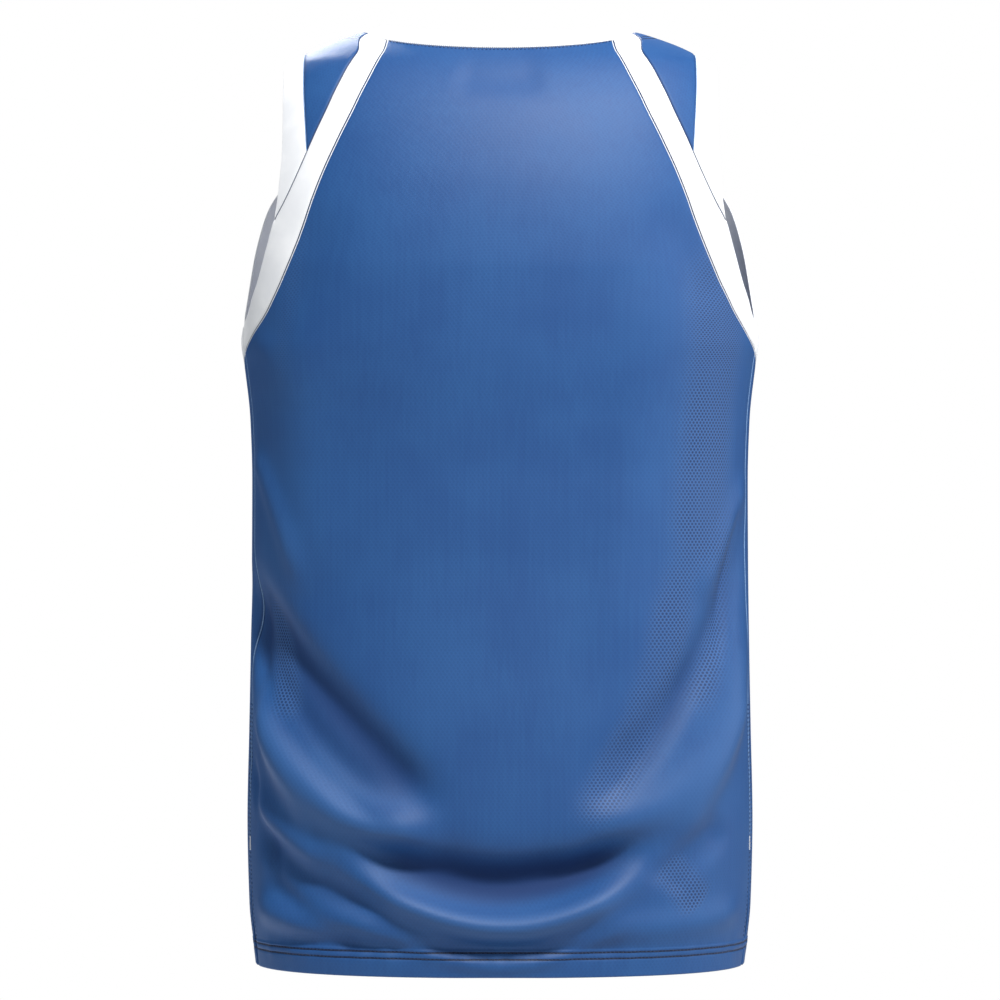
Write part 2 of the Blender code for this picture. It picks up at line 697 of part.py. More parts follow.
def make_neck_rib(rows):
    """A rib that stands on the neckline rows of the other pieces, given in order round the neck."""
    base = np.concatenate([points for points, _ in rows])
    outward = np.concatenate([normals for _, normals in rows])
    apart = np.linalg.norm(base - np.roll(base, 1, axis=0), axis=1) > 3 * SEAM_GAP
    base, outward = base[apart], outward[apart]
    along = np.roll(base, -1, axis=0) - np.roll(base, 1, axis=0)
    along /= np.linalg.norm(along, axis=1, keepdims=True)
    inward = np.cross(along, outward)
    behind = base[:, 1] > 0
    drop = np.where(behind, BACK_NECK_DROP, FRONT_NECK_DROP)
    share = np.clip((NECK_POINT_HEIGHT - base[:, 2]) / drop, 0, 1)
    lowest = np.where(behind, RIB_LEAN_BACK, RIB_LEAN_FRONT)
    lean = np.radians(RIB_LEAN_AT_POINT + (lowest - RIB_LEAN_AT_POINT) * share)[:, None]
    rise = inward * np.cos(lean) + outward * np.sin(lean)
    start = base + inward * SEAM_GAP
    points = start[None] + rise[None] * (RIB_SHARES * NECK_RIB_WIDTH)[:, None, None]
    normals = outward * np.cos(lean) - inward * np.sin(lean)
    cloth_piece("neck_rib", points, np.broadcast_to(normals, points.shape), RIB_WALL, WHITE,
                closed=True)


def main():
    seam = split_at_side_seam(band_edge("panel_edge", BACK_PANEL_TURN, FRONT_PANEL_TURN))
    outer = split_at_side_seam(band_edge("outer_edge", BACK_OUTER_TURN, FRONT_OUTER_TURN))
    edges = {
        "back": ArmEdges("back", seam[0], outer[0]),
        "front": ArmEdges("front", reverse(seam[1]), reverse(outer[1])),
    }
    panels = make_panels(edges)
    back_bands = make_band("back", edges["back"])
    front_bands = make_band("front", edges["front"])
    shoulders = make_shoulders(edges)

    def turned(row):
        return row[0][::-1], row[1][::-1]

    make_neck_rib([
        panels["back"],
        back_bands["left"],
        shoulders["left"],
        turned(front_bands["left"]),
        turned(panels["front"]),
        front_bands["right"],
        turned(shoulders["right"]),
        turned(back_bands["right"]),
    ])


for obj in list(bpy.data.objects):
    bpy.data.objects.remove(obj)
GARMENT = bpy.data.collections.new("basketball_jersey")
bpy.context.scene.collection.children.link(GARMENT)
main()
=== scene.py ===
"""Looks of a sleeveless basketball jersey, filled out as when worn and seen from behind.

Every sewn piece is a sheet of cloth on one smooth body form. A place on the form is an angle round
the body, from the middle of the back, and a height. The sheets carry the garment's folds, its sunken
seams, the raised hem and the rolled edges, and stitches and seam cords are laid on them. Lengths in
the classes are in millimetres, and meshes are in metres. +Z is up, the back faces +Y and the
wearer's left is +X.
"""

import logging
import math
from dataclasses import dataclass, field
from enum import Enum
from functools import cached_property
from typing import Any, NamedTuple, Sequence

import bpy
import numpy as np
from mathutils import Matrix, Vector


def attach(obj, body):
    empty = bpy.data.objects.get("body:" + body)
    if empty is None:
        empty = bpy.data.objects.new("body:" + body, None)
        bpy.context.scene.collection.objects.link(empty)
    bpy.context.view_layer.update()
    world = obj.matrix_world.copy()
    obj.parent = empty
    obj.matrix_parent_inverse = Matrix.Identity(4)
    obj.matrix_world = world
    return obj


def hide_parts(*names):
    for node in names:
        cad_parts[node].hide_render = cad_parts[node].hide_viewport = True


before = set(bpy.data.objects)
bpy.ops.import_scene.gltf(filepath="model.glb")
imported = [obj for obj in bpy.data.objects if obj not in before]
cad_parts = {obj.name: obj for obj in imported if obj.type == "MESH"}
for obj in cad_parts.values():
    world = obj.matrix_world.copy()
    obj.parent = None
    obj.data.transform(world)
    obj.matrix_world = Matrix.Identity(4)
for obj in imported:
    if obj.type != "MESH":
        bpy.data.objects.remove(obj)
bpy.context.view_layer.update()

LOG = logging.getLogger("jersey")
MM = 0.001
HEM_STITCHES = (13.5, 18.2)
Array = np.ndarray


# ---------------------------------------------------------------- sizes of the garment


class Face(Enum):
    """The two faces of the body."""

    BACK = "back"
    FRONT = "front"

    @property
    def toward_arm(self) -> int:
        """The side of a seam line, run from the neck down, on which the armhole lies."""
        return 1 if self is Face.BACK else -1


class Side(Enum):
    """The wearer's two sides, with the sign of X there."""

    LEFT = 1
    RIGHT = -1

    @property
    def word(self) -> str:
        """The side's name in lower case."""
        return self.name.lower()


class Edge(Enum):
    """The four edges of a sheet's grid: its first and last row, and its first and last column."""

    START = "start"
    END = "end"
    FIRST = "first"
    LAST = "last"


class Level(NamedTuple):
    """One cross-section of the body: its half width, and its depth behind and before the side."""

    height: float
    half_width: float
    back_depth: float
    front_depth: float


class SeamRow(NamedTuple):
    """The distances of a band's two edges from the middle plane at one height."""

    height: float
    panel_edge: float
    outer_edge: float


class TurnRow(NamedTuple):
    """A place of a band's edge under the arm: degrees from the middle of its face, and height."""

    angle: float
    height: float


class BindingRow(NamedTuple):
    """The distances of the armhole binding's two edges from the middle plane at one height."""

    height: float
    inner_edge: float
    outer_edge: float


class Fold(NamedTuple):
    """A soft ridge, or a trough where rise is negative, along a curve through three places.

    Each place is the girth from the middle of the face towards the wearer's left, and the height.
    """

    face: Face
    start: tuple[float, float]
    middle: tuple[float, float]
    end: tuple[float, float]
    half_width: float
    rise: float


LEVELS = (
    Level(-724.0, 192.4, 121.0, 119.0),
    Level(-676.0, 197.8, 125.0, 123.0),
    Level(-610.0, 199.3, 127.0, 125.0),
    Level(-540.0, 197.9, 124.0, 123.0),
    Level(-470.0, 196.6, 118.5, 122.0),
    Level(-400.0, 195.8, 115.0, 123.0),
    Level(-344.0, 195.6, 115.0, 126.0),
    Level(-297.0, 197.0, 117.5, 129.0),
    Level(-256.0, 201.4, 121.0, 130.0),
    Level(-236.0, 204.2, 122.0, 129.5),
    Level(-210.0, 204.0, 122.6, 127.5),
    Level(-184.0, 203.0, 122.5, 124.0),
    Level(-152.0, 200.6, 120.0, 118.0),
    Level(-120.0, 197.5, 115.0, 110.0),
    Level(-86.0, 193.5, 106.0, 100.0),
    Level(-55.0, 188.0, 94.0, 88.0),
    Level(-32.0, 179.5, 81.0, 75.0),
    Level(-17.5, 170.0, 70.0, 64.5),
    Level(-9.0, 155.0, 61.5, 56.0),
    Level(-2.5, 141.5, 53.5, 48.5),
    Level(3.0, 127.0, 45.5, 41.0),
    Level(7.0, 115.0, 36.5, 32.5),
    Level(9.7, 105.0, 28.0, 25.0),
    Level(13.5, 88.0, 20.0, 18.0),
)
SEAMS = {
    Face.BACK: (
        SeamRow(8.0, 82.0, 102.0),
        SeamRow(-8.0, 90.3, 110.5),
        SeamRow(-18.0, 95.4, 115.8),
        SeamRow(-50.0, 110.8, 131.6),
        SeamRow(-82.0, 126.0, 146.1),
        SeamRow(-105.0, 136.5, 156.1),
        SeamRow(-128.0, 145.7, 167.1),
        SeamRow(-143.0, 151.3, 175.2),
        SeamRow(-165.0, 160.0, 181.6),
        SeamRow(-189.0, 170.4, 188.5),
        SeamRow(-204.0, 177.5, 193.9),
        SeamRow(-215.0, 183.2, 197.2),
    ),
    Face.FRONT: (
        SeamRow(8.0, 86.0, 104.9),
        SeamRow(-2.0, 91.0, 112.0),
        SeamRow(-18.0, 100.0, 120.5),
        SeamRow(-50.0, 115.8, 136.0),
        SeamRow(-82.0, 132.8, 152.5),
        SeamRow(-104.0, 151.0, 170.5),
        SeamRow(-129.0, 166.5, 186.0),
        SeamRow(-143.0, 172.5, 190.5),
        SeamRow(-164.0, 180.0, 195.5),
        SeamRow(-186.0, 186.5, 199.0),
        SeamRow(-204.0, 190.5, 201.5),
        SeamRow(-215.0, 192.6, 202.8),
    ),
}
PANEL_TURN = {
    Face.BACK: (
        TurnRow(69.8, -235.0), TurnRow(77.3, -244.5), TurnRow(84.0, -252.5), TurnRow(90.0, -256.0),
    ),
    Face.FRONT: (
        TurnRow(71.5, -229.0), TurnRow(77.5, -241.0), TurnRow(84.0, -251.0), TurnRow(90.0, -256.0),
    ),
}
OUTER_TURN = {
    Face.BACK: (TurnRow(77.5, -223.5), TurnRow(83.5, -231.5), TurnRow(90.0, -235.0)),
    Face.FRONT: (TurnRow(83.4, -225.0), TurnRow(86.8, -232.0), TurnRow(90.0, -235.0)),
}
BINDING_EDGES = (
    BindingRow(-5.0, 153.8, 169.6),
    BindingRow(-33.0, 153.4, 169.2),
    BindingRow(-50.0, 152.6, 169.0),
    BindingRow(-66.0, 151.5, 168.9),
    BindingRow(-82.0, 150.4, 168.9),
    BindingRow(-96.0, 149.6, 169.6),
    BindingRow(-112.0, 149.0, 171.0),
    BindingRow(-128.0, 148.6, 172.8),
    BindingRow(-143.0, 148.4, 175.2),
)
BODY_FOLDS = (
    Fold(Face.BACK, (43, -29), (0, -35), (-43, -29), 14, -3.0),
    Fold(Face.BACK, (129, -125), (155, -198), (188, -248), 24, -7.0),
    Fold(Face.BACK, (-130, -125), (-142, -175), (-166, -214), 18, -5.0),
    Fold(Face.BACK, (150, -190), (152, -320), (146, -440), 26, 3.0),
    Fold(Face.BACK, (-124, -160), (-105, -320), (-84, -520), 26, 3.5),
    Fold(Face.BACK, (226, -318), (185, -364), (150, -440), 11, 3.5),
    Fold(Face.BACK, (-226, -336), (-185, -388), (-154, -442), 11, 3.0),
    Fold(Face.BACK, (238, -400), (129, -517), (40, -604), 17, -12.0),
    Fold(Face.BACK, (222, -460), (133, -578), (38, -614), 17, 8.5),
    Fold(Face.BACK, (-222, -366), (-150, -492), (-54, -596), 16, -8.0),
    Fold(Face.BACK, (-220, -430), (-152, -572), (-36, -612), 18, 7.0),
    Fold(Face.BACK, (134, -603), (0, -650), (-130, -605), 15, -12.0),
    Fold(Face.BACK, (148, -604), (0, -685), (-130, -620), 15, 8.0),
    Fold(Face.BACK, (216, -512), (170, -571), (140, -622), 11, 3.5),
    Fold(Face.BACK, (218, -582), (170, -617), (126, -645), 11, 4.5),
    Fold(Face.BACK, (206, -610), (146, -650), (76, -680), 13, -7.0),
    Fold(Face.BACK, (216, -674), (147, -684), (80, -686), 12, 5.0),
    Fold(Face.BACK, (-180, -604), (-145, -629), (-106, -656), 10, -4.0),
    Fold(Face.BACK, (-216, -500), (-170, -569), (-130, -628), 12, 4.0),
    Fold(Face.BACK, (-212, -673), (-136, -686), (-62, -684), 12, 4.0),
    Fold(Face.FRONT, (-132, -150), (-150, -202), (-182, -247), 22, -6.5),
    Fold(Face.FRONT, (134, -160), (150, -205), (180, -246), 20, -5.5),
    Fold(Face.FRONT, (128, -185), (110, -330), (92, -500), 26, 3.5),
    Fold(Face.FRONT, (-140, -200), (-150, -330), (-146, -450), 26, 3.0),
    Fold(Face.FRONT, (-224, -385), (-128, -515), (-46, -594), 17, -10.5),
    Fold(Face.FRONT, (-220, -440), (-138, -576), (-34, -612), 18, 7.5),
    Fold(Face.FRONT, (226, -410), (138, -530), (58, -602), 16, -9.0),
    Fold(Face.FRONT, (222, -470), (134, -584), (44, -622), 18, 7.0),
    Fold(Face.FRONT, (-126, -610), (8, -654), (134, -604), 15, -11.0),
    Fold(Face.FRONT, (-134, -620), (0, -687), (140, -620), 15, 7.5),
    Fold(Face.FRONT, (216, -590), (158, -634), (94, -668), 12, 4.5),
    Fold(Face.FRONT, (-214, -574), (-160, -622), (-104, -660), 12, 4.0),
    Fold(Face.FRONT, (210, -660), (150, -684), (78, -688), 12, 4.5),
)
# Sharper valleys, lips and small creases that only the finished cloth shows.
FINE_FOLDS = (
    Fold(Face.BACK, (250, -405), (164, -522), (64, -610), 15, -9.0),
    Fold(Face.BACK, (238, -440), (158, -548), (72, -616), 7, -3.5),
    Fold(Face.BACK, (220, -490), (140, -592), (50, -622), 12, 5.5),
    Fold(Face.BACK, (130, -618), (8, -664), (-120, -616), 13, -8.0),
    Fold(Face.BACK, (122, -640), (4, -684), (-104, -648), 8, 4.0),
    Fold(Face.BACK, (112, -662), (0, -700), (-98, -664), 4, -1.6),
    Fold(Face.BACK, (128, -668), (0, -716), (-116, -668), 6, 2.5),
    Fold(Face.BACK, (196, -640), (150, -678), (92, -700), 10, -5.0),
    Fold(Face.BACK, (228, -420), (206, -500), (188, -560), 7, -2.2),
    Fold(Face.BACK, (-158, -470), (-120, -545), (-66, -598), 9, -3.0),
    Fold(Face.BACK, (60, -618), (4, -642), (-60, -622), 16, -4.0),
    Fold(Face.BACK, (129, -125), (155, -198), (188, -248), 24, 4.5),
    Fold(Face.BACK, (-130, -125), (-142, -175), (-166, -214), 18, 3.0),
    Fold(Face.BACK, (43, -29), (0, -35), (-43, -29), 14, 1.6),
    Fold(Face.BACK, (212, -694), (60, -703), (-130, -702), 7, -4.0),
    Fold(Face.BACK, (226, -548), (196, -610), (176, -660), 7, -3.0),
    Fold(Face.BACK, (-130, -665), (-150, -640), (-190, -612), 8, -2.6),
    Fold(Face.BACK, (-206, -355), (-190, -430), (-176, -490), 7, -2.4),
    Fold(Face.FRONT, (-232, -392), (-138, -508), (-50, -598), 13, -5.0),
    Fold(Face.FRONT, (-112, -616), (4, -658), (120, -612), 12, -5.0),
    Fold(Face.FRONT, (-110, -664), (0, -702), (112, -662), 5, -2.0),
    Fold(Face.FRONT, (160, -470), (124, -548), (68, -600), 10, -3.5),
    Fold(Face.FRONT, (-196, -640), (-150, -676), (-96, -698), 9, -3.5),
)
# Where the knit is drawn tight, so that its eyelets open: bands of strength 0 to 1, laid as folds.
STRETCHED = (
    Fold(Face.BACK, (-160, -130), (-166, -290), (-146, -450), 30, 1.0),
    Fold(Face.BACK, (-138, -390), (-112, -520), (-46, -624), 19, 1.0),
    Fold(Face.BACK, (-196, -370), (-180, -455), (-142, -545), 15, 0.75),
    Fold(Face.BACK, (-120, -634), (-140, -655), (-158, -676), 17, 1.0),
    Fold(Face.BACK, (206, -425), (184, -480), (160, -545), 14, 0.9),
    Fold(Face.BACK, (150, -90), (160, -200), (176, -300), 16, 0.35),
    Fold(Face.FRONT, (150, -150), (160, -300), (140, -450), 28, 0.9),
    Fold(Face.FRONT, (134, -400), (110, -520), (50, -620), 18, 0.9),
    Fold(Face.FRONT, (-200, -440), (-180, -490), (-150, -550), 15, 0.8),
    Fold(Face.FRONT, (120, -640), (138, -656), (156, -672), 15, 0.8),
)


# ---------------------------------------------------------------- the body form


def unit(vectors: Array) -> Array:
    """The vectors of the last axis at length 1."""
    return vectors / np.maximum(np.linalg.norm(vectors, axis=-1, keepdims=True), 1e-12)


def smoothstep(low: float, high: float, x: Array) -> Array:
    """A soft step from 0 at low to 1 at high, or down if low is above high."""
    share = np.clip((x - low) / (high - low), 0, 1)
    return share * share * (3 - 2 * share)


class SoftCurve:
    """A cubic through given points that never overshoots them."""

    def __init__(self, at: Sequence[float], values: Sequence[float]) -> None:
        """Fit the tangents.

        Args:
            at: Rising places along the curve.
            values: The value at each place.
        """
        self.at, self.values = np.asarray(at, float), np.asarray(values, float)
        slope = np.diff(self.values) / np.diff(self.at)
        product = slope[:-1] * slope[1:]
        total = np.where(product > 0, slope[:-1] + slope[1:], 1.0)
        inner = np.where(product > 0, 2 * product / total, 0.0)
        self.tangent = np.concatenate([slope[:1], inner, slope[-1:]])

    def __call__(self, x: Array) -> Array:
        """The curve's value at x, held at its ends beyond them.

        Args:
            x: Places along the curve.

        Returns:
            The values there.
        """
        x = np.clip(x, self.at[0], self.at[-1])
        i = np.clip(np.searchsorted(self.at, x, side="right") - 1, 0, len(self.at) - 2)
        h = self.at[i + 1] - self.at[i]
        s = (x - self.at[i]) / h
        start = (1 + 2 * s) * (1 - s) ** 2 * self.values[i] + s * (1 - s) ** 2 * h * self.tangent[i]
        end = s * s * (3 - 2 * s) * self.values[i + 1] - s * s * (1 - s) * h * self.tangent[i + 1]
        return start + end


@dataclass
class Places:
    """Places on the form: angles in radians from the middle of the back, and heights."""

    angle: Array
    height: Array

    def __getitem__(self, index: Any) -> "Places":
        """The places at an index or slice."""
        return Places(self.angle[index], self.height[index])

    def reversed(self) -> "Places":
        """The same places from last to first."""
        return self[::-1]

    def mirrored(self) -> "Places":
        """The same places on the other side of the middle plane."""
        return Places(-self.angle, self.height)

    def on_face(self, face: Face) -> "Places":
        """Places whose angles count from the middle of a face, as places on the form, or back."""
        return self if face is Face.BACK else Places(math.pi - self.angle, self.height)

    def joined(self, other: "Places") -> "Places":
        """These places and then the other ones."""
        return Places(np.append(self.angle, other.angle), np.append(self.height, other.height))

    def cut_from(self, values: Array) -> "Places":
        """The line after the place where values first rise past 0.

        Args:
            values: One number for each place of the line.

        Returns:
            The rest of the line, starting at that place.
        """
        i = int(np.argmax(values > 0))
        if i == 0:
            return self
        share = -values[i - 1] / (values[i] - values[i - 1])
        before, after = self[i - 1 : i], self[i : i + 1]
        start = Places(
            before.angle + share * (after.angle - before.angle),
            before.height + share * (after.height - before.height),
        )
        return start.joined(self[i:])


@dataclass
class BodyForm:
    """The smooth body that the whole jersey lies on."""

    levels: tuple[Level, ...] = LEVELS
    section_swell: float = 0.05
    girth_rate: float = 162.5
    girth_wave: float = 18.75
    ridge_foot: float = -235.0

    def _curve(self, column: str) -> SoftCurve:
        """One column of the levels as a curve over height."""
        return SoftCurve([row.height for row in self.levels],
                         [getattr(row, column) for row in self.levels])

    @cached_property
    def half_width(self) -> SoftCurve:
        """The half width over height."""
        return self._curve("half_width")

    @cached_property
    def back_depth(self) -> SoftCurve:
        """The depth behind the side over height."""
        return self._curve("back_depth")

    @cached_property
    def front_depth(self) -> SoftCurve:
        """The depth before the side over height."""
        return self._curve("front_depth")

    @property
    def half_girth(self) -> float:
        """The girth from the middle of the back to the middle of the front."""
        return self.girth_rate * math.pi

    @property
    def side_girth_rate(self) -> float:
        """The girth for each radian at the side."""
        return self.girth_rate - 2 * self.girth_wave

    def girth(self, angle: Array) -> Array:
        """The girth from the middle of the back at an angle."""
        return self.girth_rate * angle + self.girth_wave * np.sin(2 * angle)

    def point(self, places: Places) -> Array:
        """The points of the form at these places.

        Args:
            places: Places on the form.

        Returns:
            Their points, in millimetres.
        """
        angle, height = places.angle, places.height
        swell = 1 + self.section_swell * np.sin(2 * angle) ** 2
        depth = np.where(np.cos(angle) > 0, self.back_depth(height), self.front_depth(height))
        x = self.half_width(height) * np.sin(angle) * swell
        y = depth * np.cos(angle) * swell
        return np.stack([x, y, np.broadcast_to(height, x.shape)], axis=-1)

    def slopes(self, places: Places) -> tuple[Array, Array]:
        """How the form's point moves with the angle and with the height.

        Args:
            places: Places on the form.

        Returns:
            The change for each radian, and for each millimetre of height.
        """
        turn, rise = 1e-3, 0.05
        angle, height = places.angle, places.height
        per_turn = self.point(Places(angle + turn, height)) - self.point(Places(angle - turn, height))
        per_rise = self.point(Places(angle, height + rise)) - self.point(Places(angle, height - rise))
        return per_turn / (2 * turn), per_rise / (2 * rise)

    def normal(self, places: Places) -> Array:
        """The directions out of the form at these places."""
        per_turn, per_rise = self.slopes(places)
        return unit(np.cross(per_rise, per_turn))

    @cached_property
    def _quarter(self) -> tuple[Array, Array]:
        """Angles over a quarter of the section, and the share of the half width there."""
        turn = np.linspace(0, math.pi / 2, 400)
        return turn, np.sin(turn) * (1 + self.section_swell * np.sin(2 * turn) ** 2)

    def angle_at(self, x: Array, height: Array) -> Array:
        """The angle at which the form is x from the middle plane."""
        turn, share = self._quarter
        return np.interp(np.asarray(x) / self.half_width(height), share, turn)

    @cached_property
    def _ridge(self) -> tuple[Array, Array]:
        """Heights of the shoulder's ridge and the half widths there."""
        heights = np.linspace(self.ridge_foot, self.levels[-1].height, 600)
        return heights, self.half_width(heights)

    def ridge_height(self, x: Array) -> Array:
        """The height of the shoulder's ridge at the distance x from the middle plane."""
        heights, widths = self._ridge
        return np.interp(x, widths[::-1], heights[::-1])

    def length(self, line: Places) -> Array:
        """The length from a line's start to each of its places."""
        steps = np.linalg.norm(np.diff(self.point(line), axis=0), axis=1)
        return np.append(0, np.cumsum(steps))

    def resample(self, line: Places, lengths: Array) -> Places:
        """Places on a line at the given lengths from its start."""
        length = self.length(line)
        return Places(np.interp(lengths, length, line.angle), np.interp(lengths, length, line.height))

    def offset(self, line: Places, distance: Array) -> Places:
        """Move a line sideways over the form.

        Args:
            line: The places of the line.
            distance: How far each place moves, to the line's right as seen from outside.

        Returns:
            The moved line.
        """
        along = unit(np.gradient(self.point(line), axis=0))
        distance = np.broadcast_to(distance, line.angle.shape)
        aside = np.cross(along, self.normal(line)) * distance[:, None]
        per_turn, per_rise = self.slopes(line)
        tt, tr, rr = ((a * b).sum(axis=1) for a, b in
                      ((per_turn, per_turn), (per_turn, per_rise), (per_rise, per_rise)))
        at, ar = (aside * per_turn).sum(axis=1), (aside * per_rise).sum(axis=1)
        area = tt * rr - tr * tr
        return Places(line.angle + (at * rr - ar * tr) / area,
                      line.height + (ar * tt - at * tr) / area)

    def over_shoulder(self, line: Places) -> Array:
        """A line as distances from the middle plane and roots of the drop below the ridge.

        The root is counted below 0 on the front, so both change evenly over the shoulder's ridge.
        """
        x = self.point(line)[..., 0]
        root = np.sqrt(np.clip(self.ridge_height(x) - line.height, 0, None))
        return np.stack([x, np.where(line.angle > math.pi / 2, -root, root)], axis=-1)

    def from_shoulder(self, pairs: Array) -> Places:
        """The places whose distances and roots over_shoulder would give.

        Args:
            pairs: Distances from the middle plane and roots, in the last axis.

        Returns:
            The places.
        """
        x, root = pairs[..., 0], pairs[..., 1]
        height = self.ridge_height(x) - root**2
        own_angle = self.angle_at(x, height)
        return Places(np.where(root > 0, own_angle, math.pi - own_angle), height)


@dataclass
class Drape:
    """The cloth's folds over the body form."""

    form: BodyForm
    folds: tuple[Fold, ...]
    steps: int = 90
    end_share: float = 0.24
    reach: float = 3.2

    def _curve(self, fold: Fold) -> Array:
        """Girths and heights along the curve through a fold's three places.

        Args:
            fold: The fold.

        Returns:
            A girth and a height for each step along it.
        """
        u = np.linspace(0, 1, self.steps)[:, None]
        start, middle, end = (np.array(place, float) for place in fold[1:4])
        bend = 2 * middle - (start + end) / 2
        curve = (1 - u) ** 2 * start + 2 * u * (1 - u) * bend + u * u * end
        if fold.face is Face.FRONT:
            curve[:, 0] = self.form.half_girth - curve[:, 0]
        return curve

    def rise(self, places: Places) -> Array:
        """How far the cloth stands out from the form at these places.

        Args:
            places: Places on the form.

        Returns:
            The sum of all the folds there.
        """
        girth, height = self.form.girth(places.angle), places.height
        total = np.zeros(girth.shape)
        round_body = 2 * self.form.half_girth
        for fold in self.folds:
            curve = self._curve(fold)
            middle = curve.mean(axis=0)
            away = (girth - middle[0] + round_body / 2) % round_body - round_body / 2
            reach = np.abs(curve - middle).max(axis=0) + self.reach * fold.half_width
            near = (np.abs(away) < reach[0]) & (np.abs(height - middle[1]) < reach[1])
            if not near.any():
                continue
            square = ((away[near][:, None] + middle[0] - curve[:, 0]) ** 2
                      + (height[near][:, None] - curve[:, 1]) ** 2)
            i = np.clip(square.argmin(axis=1), 1, self.steps - 2)
            row = np.arange(len(i))
            before, here, after = square[row, i - 1], square[row, i], square[row, i + 1]
            bow = np.maximum(before - 2 * here + after, 1e-9)
            shift = np.clip(0.5 * (before - after) / bow, -1, 1)
            least = np.maximum(here - 0.25 * (before - after) * shift, 0)
            share = (i + shift) / (self.steps - 1)
            fade = smoothstep(0, self.end_share, np.minimum(share, 1 - share))
            total[near] += fold.rise * fade * np.exp(-least / fold.half_width**2)
        return total

    def point(self, places: Places, lift: Array | float = 0.0) -> Array:
        """Points of the cloth's outer face, raised by lift."""
        out = self.rise(places) + lift
        return self.form.point(places) + self.form.normal(places) * out[..., None]


@dataclass
class Neckline:
    """The edge of the neck opening, half an ellipse seen from the front or the back."""

    form: BodyForm
    half_width: float = 105.0
    point_height: float = 9.7
    back_drop: float = 18.1
    front_drop: float = 115.0

    def drop(self, face: Face) -> float:
        """How far the neckline falls below the neck point on a face."""
        return self.front_drop if face is Face.FRONT else self.back_drop

    def height(self, x: Array, face: Face) -> Array:
        """The neckline's height at a distance from the middle plane."""
        share = np.clip(np.abs(x) / self.half_width, 0, 1)
        return self.point_height - self.drop(face) * np.sqrt(1 - share**2)

    def turn(self, angle: float, height: float) -> float:
        """The turn of the ellipse at a place: 0 at the neck point, below 0 on the front."""
        drop = self.back_drop if angle < math.pi / 2 else -self.front_drop
        return math.asin(np.clip((self.point_height - height) / drop, -1, 1))

    def stretch(self, start: Places, end: Places, shares: Array) -> Places:
        """Places along the left half of the neckline.

        Args:
            start: The place where the stretch starts.
            end: The place where it ends.
            shares: Shares of the way from start to end.

        Returns:
            The places at those shares.
        """
        first = self.turn(float(start.angle), float(start.height))
        last = self.turn(float(end.angle), float(end.height))
        turn = first + (last - first) * shares
        drop = np.where(turn > 0, self.back_drop, self.front_drop)
        height = self.point_height - drop * np.abs(np.sin(turn))
        own_angle = self.form.angle_at(self.half_width * np.cos(turn), height)
        return Places(np.where(turn > 0, own_angle, math.pi - own_angle), height)


# ---------------------------------------------------------------- how the pieces are cut

CLOSE_STEPS = (0.0, 0.7, 1.5, 2.6, 4.2)


def close_ended(length: float, count: int, close: Sequence[float] = CLOSE_STEPS) -> Array:
    """Lengths along a piece with close steps at both ends.

    Args:
        length: The whole length.
        count: The number of even steps between the close ones.
        close: The first few lengths, from 0, which the end mirrors.

    Returns:
        Rising lengths from 0 to length.
    """
    close = np.asarray(close)
    inner = np.linspace(close[-1], length - close[-1], count + 1)[1:-1]
    return np.concatenate([close, inner, length - close[::-1]])


@dataclass
class ArmEdges:
    """The two edges of the diagonal band on one face, from the neckline to the side seam.

    All the pieces that meet there share these places.
    """

    form: BodyForm
    face: Face
    seam_line: Places
    outer_line: Places
    shoulder_steps: int = 30
    binding_steps: int = 5
    arm_steps: int = 22
    seam: Places = field(init=False)
    outer: Places = field(init=False)

    def __post_init__(self) -> None:
        """Place the rows of both edges."""
        total = self.form.length(self.outer_line)[-1]
        inner_end = self._meets("inner_edge")
        outer_end = self._meets("outer_edge")
        stretches = (
            close_ended(inner_end, self.shoulder_steps),
            inner_end + close_ended(outer_end - inner_end, self.binding_steps)[1:],
            outer_end + close_ended(total - outer_end, self.arm_steps)[1:],
        )
        self.shoulder_end = len(stretches[0]) - 1
        self.binding_end = self.shoulder_end + len(stretches[1])
        lengths = np.concatenate(stretches)
        self.shares = lengths / total
        self.seam = self.form.resample(
            self.seam_line, self.shares * self.form.length(self.seam_line)[-1])
        self.outer = self.form.resample(self.outer_line, lengths)

    def _meets(self, column: str) -> float:
        """The length from the neckline to where the outer line meets an edge of the binding."""
        beyond = self.form.point(self.outer_line)[:, 0] - binding_edge(column)(self.outer_line.height)
        rest = self.outer_line.cut_from(beyond)
        return self.form.length(self.outer_line)[-1] - self.form.length(rest)[-1]

    def beside_seam(self, distance: float) -> Places:
        """The seam moved by a distance towards the armhole."""
        return self.form.offset(self.seam, distance * self.face.toward_arm)

    def beside_outer(self, distance: float) -> Places:
        """The outer edge moved by a distance towards the armhole."""
        return self.form.offset(self.outer, distance * self.face.toward_arm)


def binding_edge(column: str) -> SoftCurve:
    """The distance of one of the binding's edges from the middle plane, over height."""
    rows = BINDING_EDGES[::-1]
    return SoftCurve([row.height for row in rows], [getattr(row, column) for row in rows])


